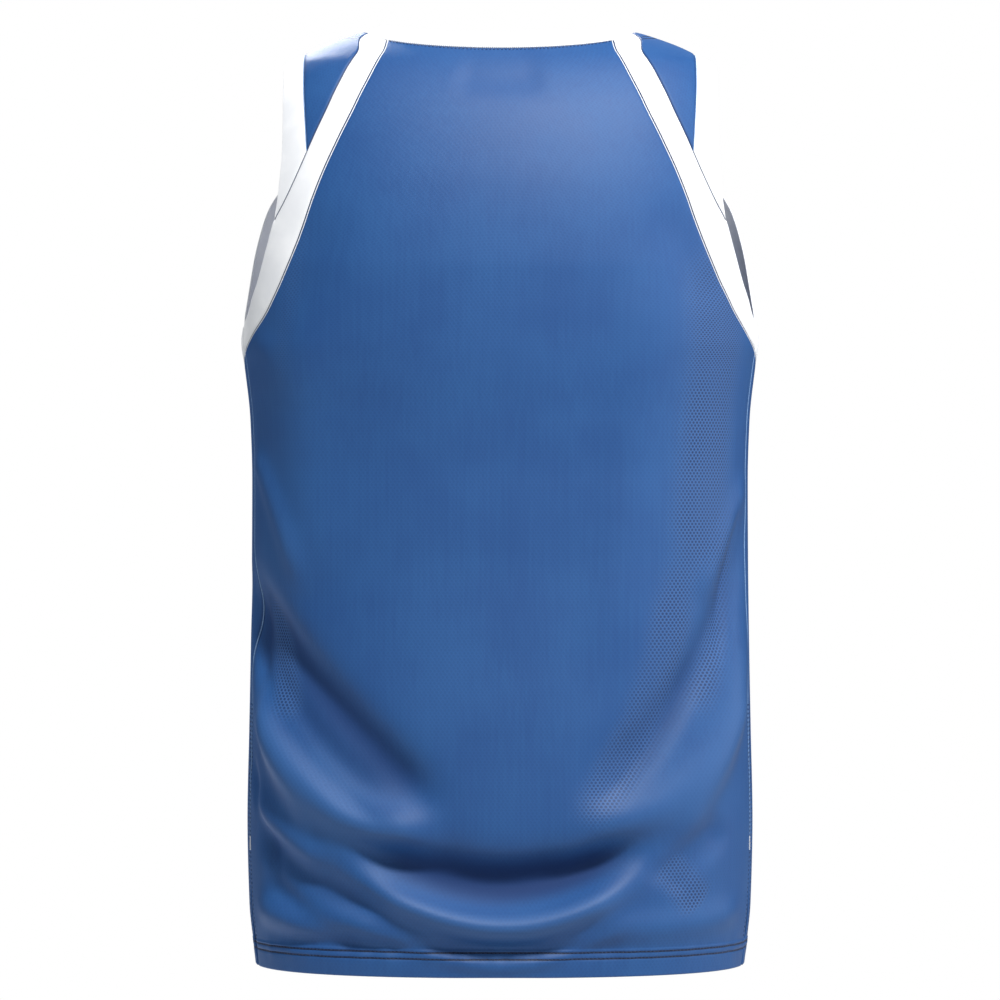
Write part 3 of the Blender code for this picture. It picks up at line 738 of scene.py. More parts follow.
@dataclass
class CutPlan:
    """Where the seams run over the body form."""

    form: BodyForm
    neckline: Neckline
    side_seam: float = 77.3
    hem_height: float = -724.0
    hem_fold: float = 20.0
    vent_top: float = -627.0
    vent_back: float = 75.2
    vent_front: float = 78.6
    line_steps: int = 900

    def _seam_line(self, face: Face, column: str, turn: Sequence[TurnRow]) -> Places:
        """One edge of the band on one face, its angles counted from that face's middle.

        Args:
            face: The face.
            column: The column of the seam table that holds this edge.
            turn: The rows under the arm.

        Returns:
            The line, from the neck down.
        """
        rows = SEAMS[face]
        heights = np.array([row.height for row in rows])
        angles = self.form.angle_at([getattr(row, column) for row in rows], heights)
        angles = np.append(angles, np.radians([row.angle for row in turn]))
        heights = np.append(heights, [row.height for row in turn])
        steps = np.hypot(np.diff(self.form.girth(angles)), np.diff(heights))
        length = np.append(0, np.cumsum(steps))
        dense = np.linspace(0, length[-1], self.line_steps)
        return Places(SoftCurve(length, angles)(dense), SoftCurve(length, heights)(dense))

    def _band_edge(self, column: str, turns: dict[Face, tuple[TurnRow, ...]]) -> Places:
        """A band edge from the back's neckline, under the arm, to the front's neckline.

        Args:
            column: The column of the seam table that holds this edge.
            turns: The rows under the arm, for each face.

        Returns:
            The whole line.
        """
        halves = {}
        for face in Face:
            line = self._seam_line(face, column, turns[face])
            above = self.neckline.height(self.form.point(line)[:, 0], face) - line.height
            halves[face] = line.cut_from(above)
        front = halves[Face.FRONT].on_face(Face.FRONT)
        return halves[Face.BACK].joined(front[:-1].reversed())

    def _parted(self, line: Places) -> dict[Face, Places]:
        """The stretches of a band edge on each face, from the neckline to the side seam.

        Args:
            line: The whole edge.

        Returns:
            The stretch on each face.
        """
        past_seam = line.angle - math.radians(self.side_seam)
        after = line.cut_from(past_seam)
        before = line.reversed().cut_from(-past_seam[::-1]).reversed()
        return {Face.BACK: before, Face.FRONT: after.reversed()}

    @cached_property
    def arm_edges(self) -> dict[Face, ArmEdges]:
        """The band's edges on each face."""
        seam = self._parted(self._band_edge("panel_edge", PANEL_TURN))
        outer = self._parted(self._band_edge("outer_edge", OUTER_TURN))
        return {face: ArmEdges(self.form, face, seam[face], outer[face]) for face in Face}

    def side_line(self, face: Face, heights: Array) -> Places:
        """A panel's side edge at the given heights, parted from its neighbour at the vent.

        Args:
            face: The face.
            heights: Heights from the hem up.

        Returns:
            The edge at those heights.
        """
        vent = math.radians(self.vent_back if face is Face.BACK else self.vent_front)
        seam = math.radians(self.side_seam)
        bend = SoftCurve([self.hem_height, self.hem_height + self.hem_fold, self.vent_top, 0.0],
                         [vent, vent, seam, seam])
        return Places(bend(heights), heights)


# ---------------------------------------------------------------- nodes of the materials


class Signal:
    """A number that varies over a surface. Python's operators add its Math nodes."""

    def __init__(self, graph: "ShaderGraph", socket: bpy.types.NodeSocket) -> None:
        """Wrap an output socket of the graph."""
        self.graph, self.socket = graph, socket

    def _math(self, operation: str, *values: "Signal | float") -> "Signal":
        """A Math node on these values."""
        return self.graph.node("ShaderNodeMath", {"operation": operation}, dict(enumerate(values)))

    def __add__(self, other: "Signal | float") -> "Signal":
        """self + other"""
        return self._math("ADD", self, other)

    __radd__ = __add__

    def __sub__(self, other: "Signal | float") -> "Signal":
        """self - other"""
        return self._math("SUBTRACT", self, other)

    def __rsub__(self, other: "Signal | float") -> "Signal":
        """other - self"""
        return self._math("SUBTRACT", other, self)

    def __mul__(self, other: "Signal | float") -> "Signal":
        """self * other"""
        return self._math("MULTIPLY", self, other)

    __rmul__ = __mul__

    def __truediv__(self, other: "Signal | float") -> "Signal":
        """self / other"""
        return self._math("DIVIDE", self, other)

    def __rtruediv__(self, other: "Signal | float") -> "Signal":
        """other / self"""
        return self._math("DIVIDE", other, self)

    def __pow__(self, other: "Signal | float") -> "Signal":
        """self ** other"""
        return self._math("POWER", self, other)

    def __neg__(self) -> "Signal":
        """-self"""
        return self._math("MULTIPLY", self, -1.0)

    def floor(self) -> "Signal":
        """The whole number below."""
        return self._math("FLOOR", self)

    def fract(self) -> "Signal":
        """The part after the whole number."""
        return self._math("FRACT", self)

    def sine(self) -> "Signal":
        """The sine, of radians."""
        return self._math("SINE", self)

    def step(self, low: float, high: float) -> "Signal":
        """A soft step from 0 at low to 1 at high.

        Args:
            low: Where the step starts.
            high: Where it ends, above low.

        Returns:
            The stepped signal.
        """
        return self.graph.node(
            "ShaderNodeMapRange",
            {"interpolation_type": "SMOOTHSTEP"},
            {0: self, 1: low, 2: high, 3: 0.0, 4: 1.0},
        )


class ShaderGraph:
    """The nodes of one material."""

    def __init__(self, name: str) -> None:
        """Make an empty material.

        Args:
            name: The material's name.
        """
        self.material = bpy.data.materials.new(name)
        self.material.use_nodes = True
        self.tree = self.material.node_tree
        self.tree.nodes.clear()

    def node(self, kind: str, settings: dict[str, Any], values: dict[Any, Any],
             output: int | str = 0) -> Signal:
        """Add a node.

        Args:
            kind: The node's type.
            settings: Its properties, which are set first.
            values: Numbers, colours or signals for its input sockets, by index or name.
            output: The output socket that is wanted.

        Returns:
            That output.
        """
        made = self.tree.nodes.new(kind)
        for key, value in settings.items():
            setattr(made, key, value)
        for key, value in values.items():
            socket = made.inputs[key]
            if isinstance(value, Signal):
                self.tree.links.new(value.socket, socket)
            elif isinstance(value, tuple) and len(value) == 3 and socket.type == "RGBA":
                socket.default_value = (*value, 1.0)
            else:
                socket.default_value = value
        return Signal(self, made.outputs[output])

    def mix(self, share: Signal | float, first: Any, second: Any) -> Signal:
        """A colour between two others."""
        return self.node("ShaderNodeMix", {"data_type": "RGBA"}, {0: share, 6: first, 7: second}, 2)

    def object_place(self) -> Signal:
        """The place on the object, in metres."""
        return self.node("ShaderNodeTexCoord", {}, {}, "Object")

    def cloth_place(self) -> tuple[Signal, Signal]:
        """The place on the cut cloth, across and along, in metres."""
        place = self.node("ShaderNodeUVMap", {"uv_map": "Cloth"}, {})
        return tuple(self.node("ShaderNodeSeparateXYZ", {}, {0: place}, i) for i in (0, 1))

    def part(self, place: Signal, axis: int) -> Signal:
        """One coordinate of a place."""
        return self.node("ShaderNodeSeparateXYZ", {}, {0: place}, axis)

    def attribute(self, name: str) -> Signal:
        """A number that the mesh stores for each of its points."""
        return self.node("ShaderNodeAttribute", {"attribute_name": name}, {}, "Fac")

    def noise(self, place: Signal, scale: float, detail: float = 2.0) -> Signal:
        """Soft noise from 0 to 1."""
        return self.node("ShaderNodeTexNoise", {}, {"Vector": place, "Scale": scale, "Detail": detail})

    def bump(self, height: Signal, distance: float, strength: float = 1.0) -> Signal:
        """A normal bent by a height field whose 1 stands distance metres high."""
        return self.node("ShaderNodeBump", {},
                         {"Height": height, "Distance": distance, "Strength": strength})

    def surface(self, values: dict[str, Any]) -> bpy.types.Material:
        """Finish the material with a Principled shader.

        Args:
            values: Constants and signals for the shader's sockets.

        Returns:
            The material.
        """
        shader = self.node("ShaderNodeBsdfPrincipled", {}, values)
        output = self.tree.nodes.new("ShaderNodeOutputMaterial")
        self.tree.links.new(shader.socket, output.inputs["Surface"])
        return self.material


# ---------------------------------------------------------------- finishes


@dataclass(frozen=True)
class MeshKnit:
    """Blue polyester knit with staggered rows of small eyelets, satin where it catches the light, with
    painted shade in its fold hollows, along its seams and in the hem's stitch lines, and painted highlight
    on its fold crests.
    """

    name: str = "blue_mesh_knit"
    deep: tuple[float, float, float] = (0.010, 0.069, 0.236)
    pale: tuple[float, float, float] = (0.014, 0.086, 0.268)
    painted_hollow_shade: tuple[float, float, float] = (0.001, 0.024, 0.115)
    painted_crest_highlight: tuple[float, float, float] = (0.030, 0.108, 0.300)
    tight: tuple[float, float, float] = (0.040, 0.125, 0.340)
    eyelet_and_seam_shade: tuple[float, float, float] = (0.003, 0.024, 0.100)
    thread_and_groove_shade: tuple[float, float, float] = (0.001, 0.006, 0.028)
    across: float = 0.0032
    along: float = 0.0023
    eyelet_radius: float = 0.00088
    wale: float = 0.0008
    seam_shade: float = 0.003
    stitch_rows: tuple[float, float] = HEM_STITCHES
    roughness: float = 0.58

    def material(self) -> bpy.types.Material:
        """Make the finish.

        Returns:
            The material.
        """
        graph = ShaderGraph(self.name)
        u, v = graph.cloth_place()
        place = graph.object_place()
        row = v / self.along
        column = u / self.across + (row.floor() * 0.5).fract()
        dx = (column.fract() - 0.5) * self.across
        dy = (row.fract() - 0.5) * self.along
        away = (dx * dx + dy * dy) ** 0.5
        cloudy = graph.noise(place, 14.0, 3.0)
        stretch = graph.attribute("stretch").step(0.15, 0.85)
        tight = stretch * (cloudy.step(0.25, 0.6) * 0.4 + 0.6)
        rim = away.step(self.eyelet_radius * 0.6, self.eyelet_radius * 1.6)
        hole = (1.0 - rim) * (tight * 0.88 + 0.12)
        wales = (u * (2 * math.pi / self.wale)).sine()
        streaks = graph.noise(graph.node("ShaderNodeVectorMath", {"operation": "MULTIPLY"},
                                         {0: place, 1: (420.0, 420.0, 12.0)}), 1.0, 1.0)
        colour = graph.mix((cloudy * 0.7 + streaks * 0.3).step(0.3, 0.7), self.deep, self.pale)
        fold = graph.attribute("fold_height")
        # Painted shade: the colour is drawn deeper in the folds' hollows; the same mask also roughens the
        # cloth there.
        painted_hollow_shade = (-fold).step(1.0, 17.0)
        colour = graph.mix(painted_hollow_shade * 0.9, colour, self.painted_hollow_shade)
        # Painted highlight: the colour is drawn paler on the folds' crests.
        colour = graph.mix(fold.step(1.5, 9.0) * 0.6, colour, self.painted_crest_highlight)
        colour = graph.mix(tight * 0.7, colour, self.tight)
        # Painted shade: the cloth is drawn darker within a few millimetres of its sewn edges, in the
        # eyelets' colour.
        seam = 1.0 - graph.attribute("seam_distance").step(0.0006, self.seam_shade)
        colour = graph.mix(seam * 0.45, colour, self.eyelet_and_seam_shade)
        # Painted shade: dark lines along the hem's stitch rows, for the thread and for the shade in its
        # pressed grooves.
        colour = graph.mix(self._stitch_groove_shade(graph) * 0.95, colour, self.thread_and_groove_shade)
        colour = graph.mix(hole, colour, self.eyelet_and_seam_shade)
        colour = graph.mix(graph.attribute("inside") * 0.25, colour, self.deep)
        relief = wales * 0.10 - hole + streaks * 0.25
        return graph.surface({
            "Base Color": colour,
            "Roughness": cloudy * 0.10 + painted_hollow_shade * 0.22 + (self.roughness - 0.05),
            "Specular IOR Level": 0.45,
            "Normal": graph.bump(relief, 0.00022, 0.7),
        })

    def _stitch_groove_shade(self, graph: "ShaderGraph") -> "Signal":
        """Painted shade, with the dark thread's colour, along the pressed lines under the hem's two rows of
        stitches.

        Args:
            graph: The material's nodes.

        Returns:
            1 on the lines and 0 away from them.
        """
        above = graph.attribute("from_start")
        lines: Signal | float = 0.0
        for row in self.stitch_rows:
            away = above - row
            lines = 1.0 - (away * away).step(0.15, 0.80) + lines
        return lines


@dataclass(frozen=True)
class PlainKnit:
    """White knit of close fine wales."""

    name: str = "white_plain_knit"
    light: tuple[float, float, float] = (0.88, 0.885, 0.90)
    shade: tuple[float, float, float] = (0.80, 0.81, 0.835)
    wale: float = 0.0009
    course: float = 0.0007
    roughness: float = 0.7
    sheen: float = 0.2

    def material(self) -> bpy.types.Material:
        """Make the finish.

        Returns:
            The material.
        """
        graph = ShaderGraph(self.name)
        u, v = graph.cloth_place()
        place = graph.object_place()
        wales = (u * (2 * math.pi / self.wale)).sine()
        courses = (v * (2 * math.pi / self.course)).sine()
        cloudy = graph.noise(place, 30.0, 3.0)
        # Painted shade: the white knit is drawn darker along its sewn edges.
        seam = 1.0 - graph.attribute("seam_distance").step(0.0003, 0.0018)
        colour = graph.mix(cloudy.step(0.35, 0.7), self.shade, self.light)
        colour = graph.mix(seam * 0.35, colour, self.shade)
        return graph.surface({
            "Base Color": colour,
            "Roughness": self.roughness + cloudy * 0.06,
            "Sheen Weight": self.sheen,
            "Sheen Roughness": 0.5,
            "Specular IOR Level": 0.35,
            "Normal": graph.bump(wales * 0.5 + courses * 0.3, 0.00012, 0.5),
        })


@dataclass(frozen=True)
class RibKnit:
    """White rib knit whose ribs run across the band, with painted shade in the grooves between them."""

    name: str = "white_rib_knit"
    light: tuple[float, float, float] = (0.88, 0.885, 0.90)
    groove: tuple[float, float, float] = (0.70, 0.71, 0.74)
    rib: float = 0.0016
    roughness: float = 0.72

    def material(self) -> bpy.types.Material:
        """Make the finish.

        Returns:
            The material.
        """
        graph = ShaderGraph(self.name)
        u, _ = graph.cloth_place()
        ridge = (u * (2 * math.pi / self.rib)).sine() * 0.5 + 0.5
        cloudy = graph.noise(graph.object_place(), 30.0, 3.0)
        # Painted shade: the grooves between the ribs are drawn darker than the ribs.
        colour = graph.mix(ridge.step(0.0, 0.5), self.groove, self.light)
        return graph.surface({
            "Base Color": colour,
            "Roughness": self.roughness + cloudy * 0.06,
            "Sheen Weight": 0.2,
            "Sheen Roughness": 0.5,
            "Specular IOR Level": 0.35,
            "Normal": graph.bump(ridge, 0.00035, 0.8),
        })


@dataclass(frozen=True)
class Thread:
    """Twisted sewing thread or a narrow cord."""

    name: str
    colour: tuple[float, float, float]
    dark: tuple[float, float, float]
    roughness: float = 0.6

    def material(self) -> bpy.types.Material:
        """Make the finish.

        Returns:
            The material.
        """
        graph = ShaderGraph(self.name)
        twist = graph.noise(graph.object_place(), 900.0, 1.0)
        colour = graph.mix(twist.step(0.35, 0.65), self.dark, self.colour)
        return graph.surface({
            "Base Color": colour,
            "Roughness": twist * 0.1 + self.roughness,
            "Sheen Weight": 0.15,
            "Specular IOR Level": 0.35,
            "Normal": graph.bump(twist, 0.0001, 0.5),
        })


class Finishes:
    """The finishes of the garment, each made once."""

    def __init__(self) -> None:
        """Make every material."""
        self.mesh_knit = MeshKnit().material()
        self.plain_knit = PlainKnit().material()
        self.rib_knit = RibKnit().material()
        navy = Thread("navy_thread", (0.010, 0.035, 0.110), (0.004, 0.016, 0.060))
        self.navy_thread = navy.material()
        self.blue_cord = Thread("blue_seam_cord", (0.20, 0.34, 0.58), (0.13, 0.25, 0.46)).material()
        self.white_thread = Thread("white_thread", (0.86, 0.87, 0.90), (0.72, 0.74, 0.79)).material()


# ---------------------------------------------------------------- meshes


def make_piece(name: str, points: Array, faces: Sequence[Sequence[int]] | Array,
               material: bpy.types.Material) -> bpy.types.Object:
    """Make a smooth-shaded mesh object.

    Args:
        name: The piece's name.
        points: Its points in millimetres.
        faces: The corners of each face, anticlockwise seen from outside.
        material: Its finish.

    Returns:
        The object, linked to the scene.
    """
    mesh = bpy.data.meshes.new(name)
    faces = faces.tolist() if isinstance(faces, np.ndarray) else faces
    mesh.from_pydata((points * MM).tolist(), [], faces)
    mesh.shade_smooth()
    mesh.materials.append(material)
    piece = bpy.data.objects.new(name, mesh)
    bpy.context.scene.collection.objects.link(piece)
    return piece


def store(piece: bpy.types.Object, name: str, values: Array) -> None:
    """Store a number for each point of a piece's mesh."""
    attribute = piece.data.attributes.new(name, "FLOAT", "POINT")
    attribute.data.foreach_set("value", values.astype(np.float32))


def lay_cloth_map(piece: bpy.types.Object, places: Array, ring: float = 0.0) -> None:
    """Give a piece its UV map, in metres of cloth.

    Args:
        piece: The object.
        places: The place across and along the cloth for each point, in millimetres.
        ring: The length round a closed band of four-sided faces, whose last faces then run on
            past it instead of back to the start. It is 0 for a piece that isn't closed.
    """
    corners = np.empty(len(piece.data.loops), int)
    piece.data.loops.foreach_get("vertex_index", corners)
    layer = piece.data.uv_layers.new(name="Cloth")
    laid = places[corners]
    if ring:
        across = laid[:, 0].reshape(-1, 4)
        closing = np.ptp(across, axis=1) > ring / 2
        across[closing[:, None] & (across < ring / 2)] += ring
        laid[:, 0] = across.ravel()
    layer.data.foreach_set("uv", (laid * MM).astype(np.float32).ravel())


def step_lengths(points: Array) -> Array:
    """The length down each column of a grid, from its first row to each row."""
    steps = np.linalg.norm(np.diff(points, axis=0), axis=-1)
    return np.vstack([np.zeros((1, steps.shape[1])), np.cumsum(steps, axis=0)])


class ClothSheet:
    """A cut piece of cloth: a thin closed shell on a grid of places, with soft rolled edges."""

    sink = 0.9
    sink_width = 1.6

    def __init__(self, drape: Drape, places: Places, wall: Array | float,
                 sewn: dict[Edge, Array | float], lift: Array | float = 0.0) -> None:
        """Drape the sheet.

        Args:
            drape: The folds and the form that it lies on.
            places: The rows and columns of its outer face.
            wall: The thickness of the cloth, for all of it or for each place.
            sewn: For each edge the share, from 0 to 1, to which it is sewn down. The rest is free.
            lift: How far the outer face stands out of the folded cloth.
        """
        self.places = places
        flat = drape.form.point(places)
        down = step_lengths(flat)
        over = step_lengths(flat.transpose(1, 0, 2)).T
        self.distance = {
            Edge.START: down,
            Edge.END: down[-1] - down,
            Edge.FIRST: over,
            Edge.LAST: over[:, -1:] - over,
        }
        self.sewn = {edge: self._along(edge, sewn.get(edge, 0.0)) for edge in Edge}
        relief = np.zeros(places.height.shape) + lift
        for edge, share in self.sewn.items():
            relief -= self.sink * np.exp(-((self.distance[edge] / self.sink_width) ** 2)) * share
        self.fold = drape.rise(places)
        self.stretch = Drape(drape.form, STRETCHED).rise(places)
        self.outer = (drape.form.point(places)
                      + drape.form.normal(places) * (self.fold + relief)[..., None])
        self.girth = drape.form.girth(places.angle)
        rows, columns = np.gradient(self.outer, axis=0), np.gradient(self.outer, axis=1)
        normals = unit(np.cross(columns, rows))
        outward = (normals * drape.form.normal(places)).sum() > 0
        self.normals = normals if outward else -normals
        self.flipped = not outward
        self.wall = np.zeros(places.height.shape) + wall

    def _along(self, edge: Edge, share: Array | float) -> Array:
        """A share along an edge, shaped to spread over the grid."""
        count = self.places.height.shape[0 if edge in (Edge.FIRST, Edge.LAST) else 1]
        share = np.broadcast_to(share, count)
        return share[:, None] if edge in (Edge.FIRST, Edge.LAST) else share[None, :]

    def area(self) -> float:
        """The area of the outer face, in square metres."""
        a = np.diff(self.outer, axis=0)[:, :-1]
        b = np.diff(self.outer, axis=1)[:-1]
        return float(np.linalg.norm(np.cross(a, b), axis=-1).sum()) * MM * MM

    def line(self, edge: Edge, distance: float) -> tuple[Array, Array]:
        """A line on the outer face at a distance from an edge.

        Args:
            edge: The edge.
            distance: The distance from it, over the cloth.

        Returns:
            The line's points and the directions out of the cloth there.
        """
        away, points, normals = self.distance[edge], self.outer, self.normals
        if edge in (Edge.FIRST, Edge.LAST):
            away, points, normals = away.T, points.transpose(1, 0, 2), normals.transpose(1, 0, 2)
        if edge in (Edge.END, Edge.LAST):
            away, points, normals = away[::-1], points[::-1], normals[::-1]
        found = [
            [[np.interp(distance, away[:, c], field[:, c, k]) for k in range(3)]
             for c in range(away.shape[1])]
            for field in (points, normals)
        ]
        return np.array(found[0]), unit(np.array(found[1]))

    def _boundary(self) -> tuple[Array, Array, Array]:
        """The rim of the grid.

        Returns:
            Its points' numbers, their outward directions, and how free each one is.
        """
        rows, columns = self.places.height.shape
        index = np.arange(rows * columns).reshape(rows, columns)
        free = {edge: 1 - np.broadcast_to(share, (rows, columns)) for edge, share in self.sewn.items()}
        sides = (
            (Edge.START, np.s_[0, :-1], np.s_[1, :-1]),
            (Edge.LAST, np.s_[:-1, -1], np.s_[:-1, -2]),
            (Edge.END, np.s_[-1, :0:-1], np.s_[-2, :0:-1]),
            (Edge.FIRST, np.s_[:0:-1, 0], np.s_[:0:-1, 1]),
        )
        numbers = np.concatenate([index[at] for _, at, _ in sides])
        outward = unit(np.concatenate([self.outer[at] - self.outer[inner] for _, at, inner in sides]))
        freedom = np.concatenate([free[edge][at] for edge, at, _ in sides])
        corners = np.cumsum([0] + [len(index[at]) for _, at, _ in sides[:-1]])
        freedom[corners] = np.minimum(freedom[corners], np.roll(freedom, 1)[corners])
        outward[corners] = unit(outward[corners] + np.roll(outward, 1, axis=0)[corners])
        return numbers, outward, freedom

    def build(self, name: str, material: bpy.types.Material) -> bpy.types.Object:
        """Make the sheet's shell.

        Args:
            name: The piece's name.
            material: Its finish.

        Returns:
            The object.
        """
        rows, columns = self.places.height.shape
        count = rows * columns
        index = np.arange(count).reshape(rows, columns)
        outer = self.outer.reshape(-1, 3)
        normals, wall = self.normals.reshape(-1, 3), self.wall.ravel()
        inner = outer - normals * wall[:, None]
        quads = np.stack([index[:-1, :-1], index[:-1, 1:], index[1:, 1:], index[1:, :-1]], axis=-1)
        quads = quads.reshape(-1, 4)
        numbers, outward, freedom = self._boundary()
        bulge = (0.03 + 0.45 * freedom) * wall[numbers]
        rings, around = [], [numbers]
        for turn in np.radians((45, 90, 135)):
            rings.append(outer[numbers] + outward * (bulge * math.sin(turn))[:, None]
                         - normals[numbers] * (wall[numbers] * (1 - math.cos(turn)) / 2)[:, None])
            around.append(2 * count + len(numbers) * len(around[1:]) + np.arange(len(numbers)))
        around.append(numbers + count)
        strips = [
            np.stack([a, b, np.roll(b, -1), np.roll(a, -1)], axis=-1)
            for a, b in zip(around[:-1], around[1:])
        ]
        faces = np.concatenate([quads, quads[:, ::-1] + count, *strips])
        if self.flipped:
            faces = faces[:, ::-1]
        piece = make_piece(name, np.concatenate([outer, inner, *rings]), faces, material)

        cloth_map = np.stack([self.girth.ravel() + 500.0, self.distance[Edge.START].ravel()], axis=-1)
        rim_map = np.tile(cloth_map[numbers], (3, 1))
        lay_cloth_map(piece, np.concatenate([cloth_map, cloth_map, rim_map]))
        seam = np.full((rows, columns), 50.0)
        for edge, share in self.sewn.items():
            seam = np.where(share > 0.5, np.minimum(seam, self.distance[edge]), seam)
        seam = seam.ravel() * MM
        store(piece, "seam_distance", np.concatenate([seam, seam, np.tile(seam[numbers], 3)]))
        inside = np.repeat([0.0, 1.0, 0.5], [count, count, 3 * len(numbers)])
        store(piece, "inside", inside)
        for title, grid in (("fold_height", self.fold), ("stretch", self.stretch),
                            ("from_start", self.distance[Edge.START])):
            values = grid.ravel()
            store(piece, title, np.concatenate([values, values, np.tile(values[numbers], 3)]))
        return piece


class SeamWork:
    """Stitches and cords sewn along lines on the cloth, gathered into one piece."""

    def __init__(self) -> None:
        """Start with nothing sewn."""
        self.points: list[Array] = []
        self.faces: list[Array] = []
        self.count = 0

    def _add(self, points: Array, faces: Array) -> None:
        """Add points and the faces between them."""
        self.points.append(points)
        self.faces.append(faces + self.count)
        self.count += len(points)

    def stitches(self, line: Array, out: Array, pitch: float = 3.2, length: float = 2.5,
                 radius: float = 0.36, lift: float = 0.1, skew: float = 0.0) -> "SeamWork":
        """Sew a row of stitches.

        Args:
            line: The points of the row.
            out: The direction out of the cloth at each point.
            pitch: The length from one stitch to the next.
            length: The length of a stitch.
            radius: The thread's radius.
            lift: How far the thread's middle lies out of the cloth.
            skew: Degrees that each stitch turns out of the row.

        Returns:
            The seam work itself.
        """
        along = np.append(0, np.cumsum(np.linalg.norm(np.diff(line, axis=0), axis=1)))
        at = np.arange(pitch / 2, along[-1] - pitch / 2, pitch)
        if not len(at):
            return self
        middle = np.stack([np.interp(at, along, line[:, k]) for k in range(3)], axis=-1)
        up = unit(np.stack([np.interp(at, along, out[:, k]) for k in range(3)], axis=-1))
        ahead = np.stack([np.interp(at + 0.5, along, line[:, k]) for k in range(3)], axis=-1)
        run = unit(ahead - middle)
        aside = unit(np.cross(up, run))
        run = unit(run * math.cos(math.radians(skew)) + aside * math.sin(math.radians(skew)))
        aside = np.cross(up, run)
        middle = middle + up * lift
        sides = 6
        turn = np.arange(sides) * (2 * math.pi / sides)
        ring = (aside[:, None] * np.cos(turn)[None, :, None] + up[:, None] * np.sin(turn)[None, :, None])
        half = run[:, None] * (length / 2 - radius)
        tip = run * (length / 2)
        sag = up * radius * 0.9
        points = np.concatenate([
            (middle - tip - sag)[:, None],
            middle[:, None] - half + ring * radius * 0.8,
            middle[:, None] + ring * radius,
            middle[:, None] + half + ring * radius * 0.8,
            (middle + tip - sag)[:, None],
        ], axis=1)
        near, far = np.arange(sides), np.roll(np.arange(sides), -1)
        quads = [
            np.stack([1 + s * sides + near, 1 + s * sides + far,
                      1 + (s + 1) * sides + far, 1 + (s + 1) * sides + near], axis=-1)
            for s in range(2)
        ]
        first = np.stack([0 * near, 1 + far, 1 + near, 1 + near], axis=-1)
        end = 1 + 3 * sides
        last = np.stack([0 * near + end, end - sides + near, end - sides + far, end - sides + far], axis=-1)
        pattern = np.concatenate([first, *quads, last])
        faces = pattern[None] + (np.arange(len(at)) * points.shape[1])[:, None, None]
        self._add(points.reshape(-1, 3), faces.reshape(-1, 4))
        return self

    def cord(self, line: Array, out: Array, radius: float, lift: float, sides: int = 8) -> "SeamWork":
        """Lay a round cord.

        Args:
            line: The points of the line.
            out: The direction out of the cloth at each point.
            radius: The cord's radius.
            lift: How far its middle lies out of the cloth.
            sides: The number of its sides.

        Returns:
            The seam work itself.
        """
        run = unit(np.gradient(line, axis=0))
        aside = unit(np.cross(out, run))
        up = unit(np.cross(run, aside))
        middle = line + up * lift
        turn = np.arange(sides) * (2 * math.pi / sides)
        ring = aside[:, None] * np.cos(turn)[None, :, None] + up[:, None] * np.sin(turn)[None, :, None]
        tube = (middle[:, None] + ring * radius).reshape(-1, 3)
        rows = len(line)
        points = np.concatenate([tube, middle[:1] - run[:1] * radius, middle[-1:] + run[-1:] * radius])
        index = np.arange(rows * sides).reshape(rows, sides)
        far = np.roll(index, -1, axis=1)
        walls = np.stack([index[:-1], far[:-1], far[1:], index[1:]], axis=-1).reshape(-1, 4)
        start, end = rows * sides, rows * sides + 1
        first = np.stack([np.full(sides, start), far[0], index[0], index[0]], axis=-1)
        last = np.stack([np.full(sides, end), index[-1], far[-1], far[-1]], axis=-1)
        self._add(points, np.concatenate([first, walls, last]))
        return self

    def build(self, name: str, material: bpy.types.Material) -> bpy.types.Object:
        """Make the piece of all that is sewn.

        Args:
            name: The piece's name.
            material: Its finish.

        Returns:
            The object.
        """
        faces = [list(dict.fromkeys(face)) for face in np.concatenate(self.faces).tolist()]
        return make_piece(name, np.concatenate(self.points), faces, material)


# ---------------------------------------------------------------- the pieces of the jersey


@dataclass
class Workshop:
    """What all the pieces share: the form, the folds, the cut and the finishes."""

    form: BodyForm
    drape: Drape
    neckline: Neckline
    cut: CutPlan
    finishes: Finishes
    seam_gap: float = 0.08


def ready(piece: bpy.types.Object, node: str | None = None) -> bpy.types.Object:
    """Put a finished piece on the garment's body.

    Args:
        piece: The piece.
        node: The solid that it stands for, if it stands for one.

    Returns:
        The piece.
    """
    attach(piece, "root")
    if node:
        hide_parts(node)
    LOG.info("%s: %d faces", piece.name, len(piece.data.polygons))
    return piece


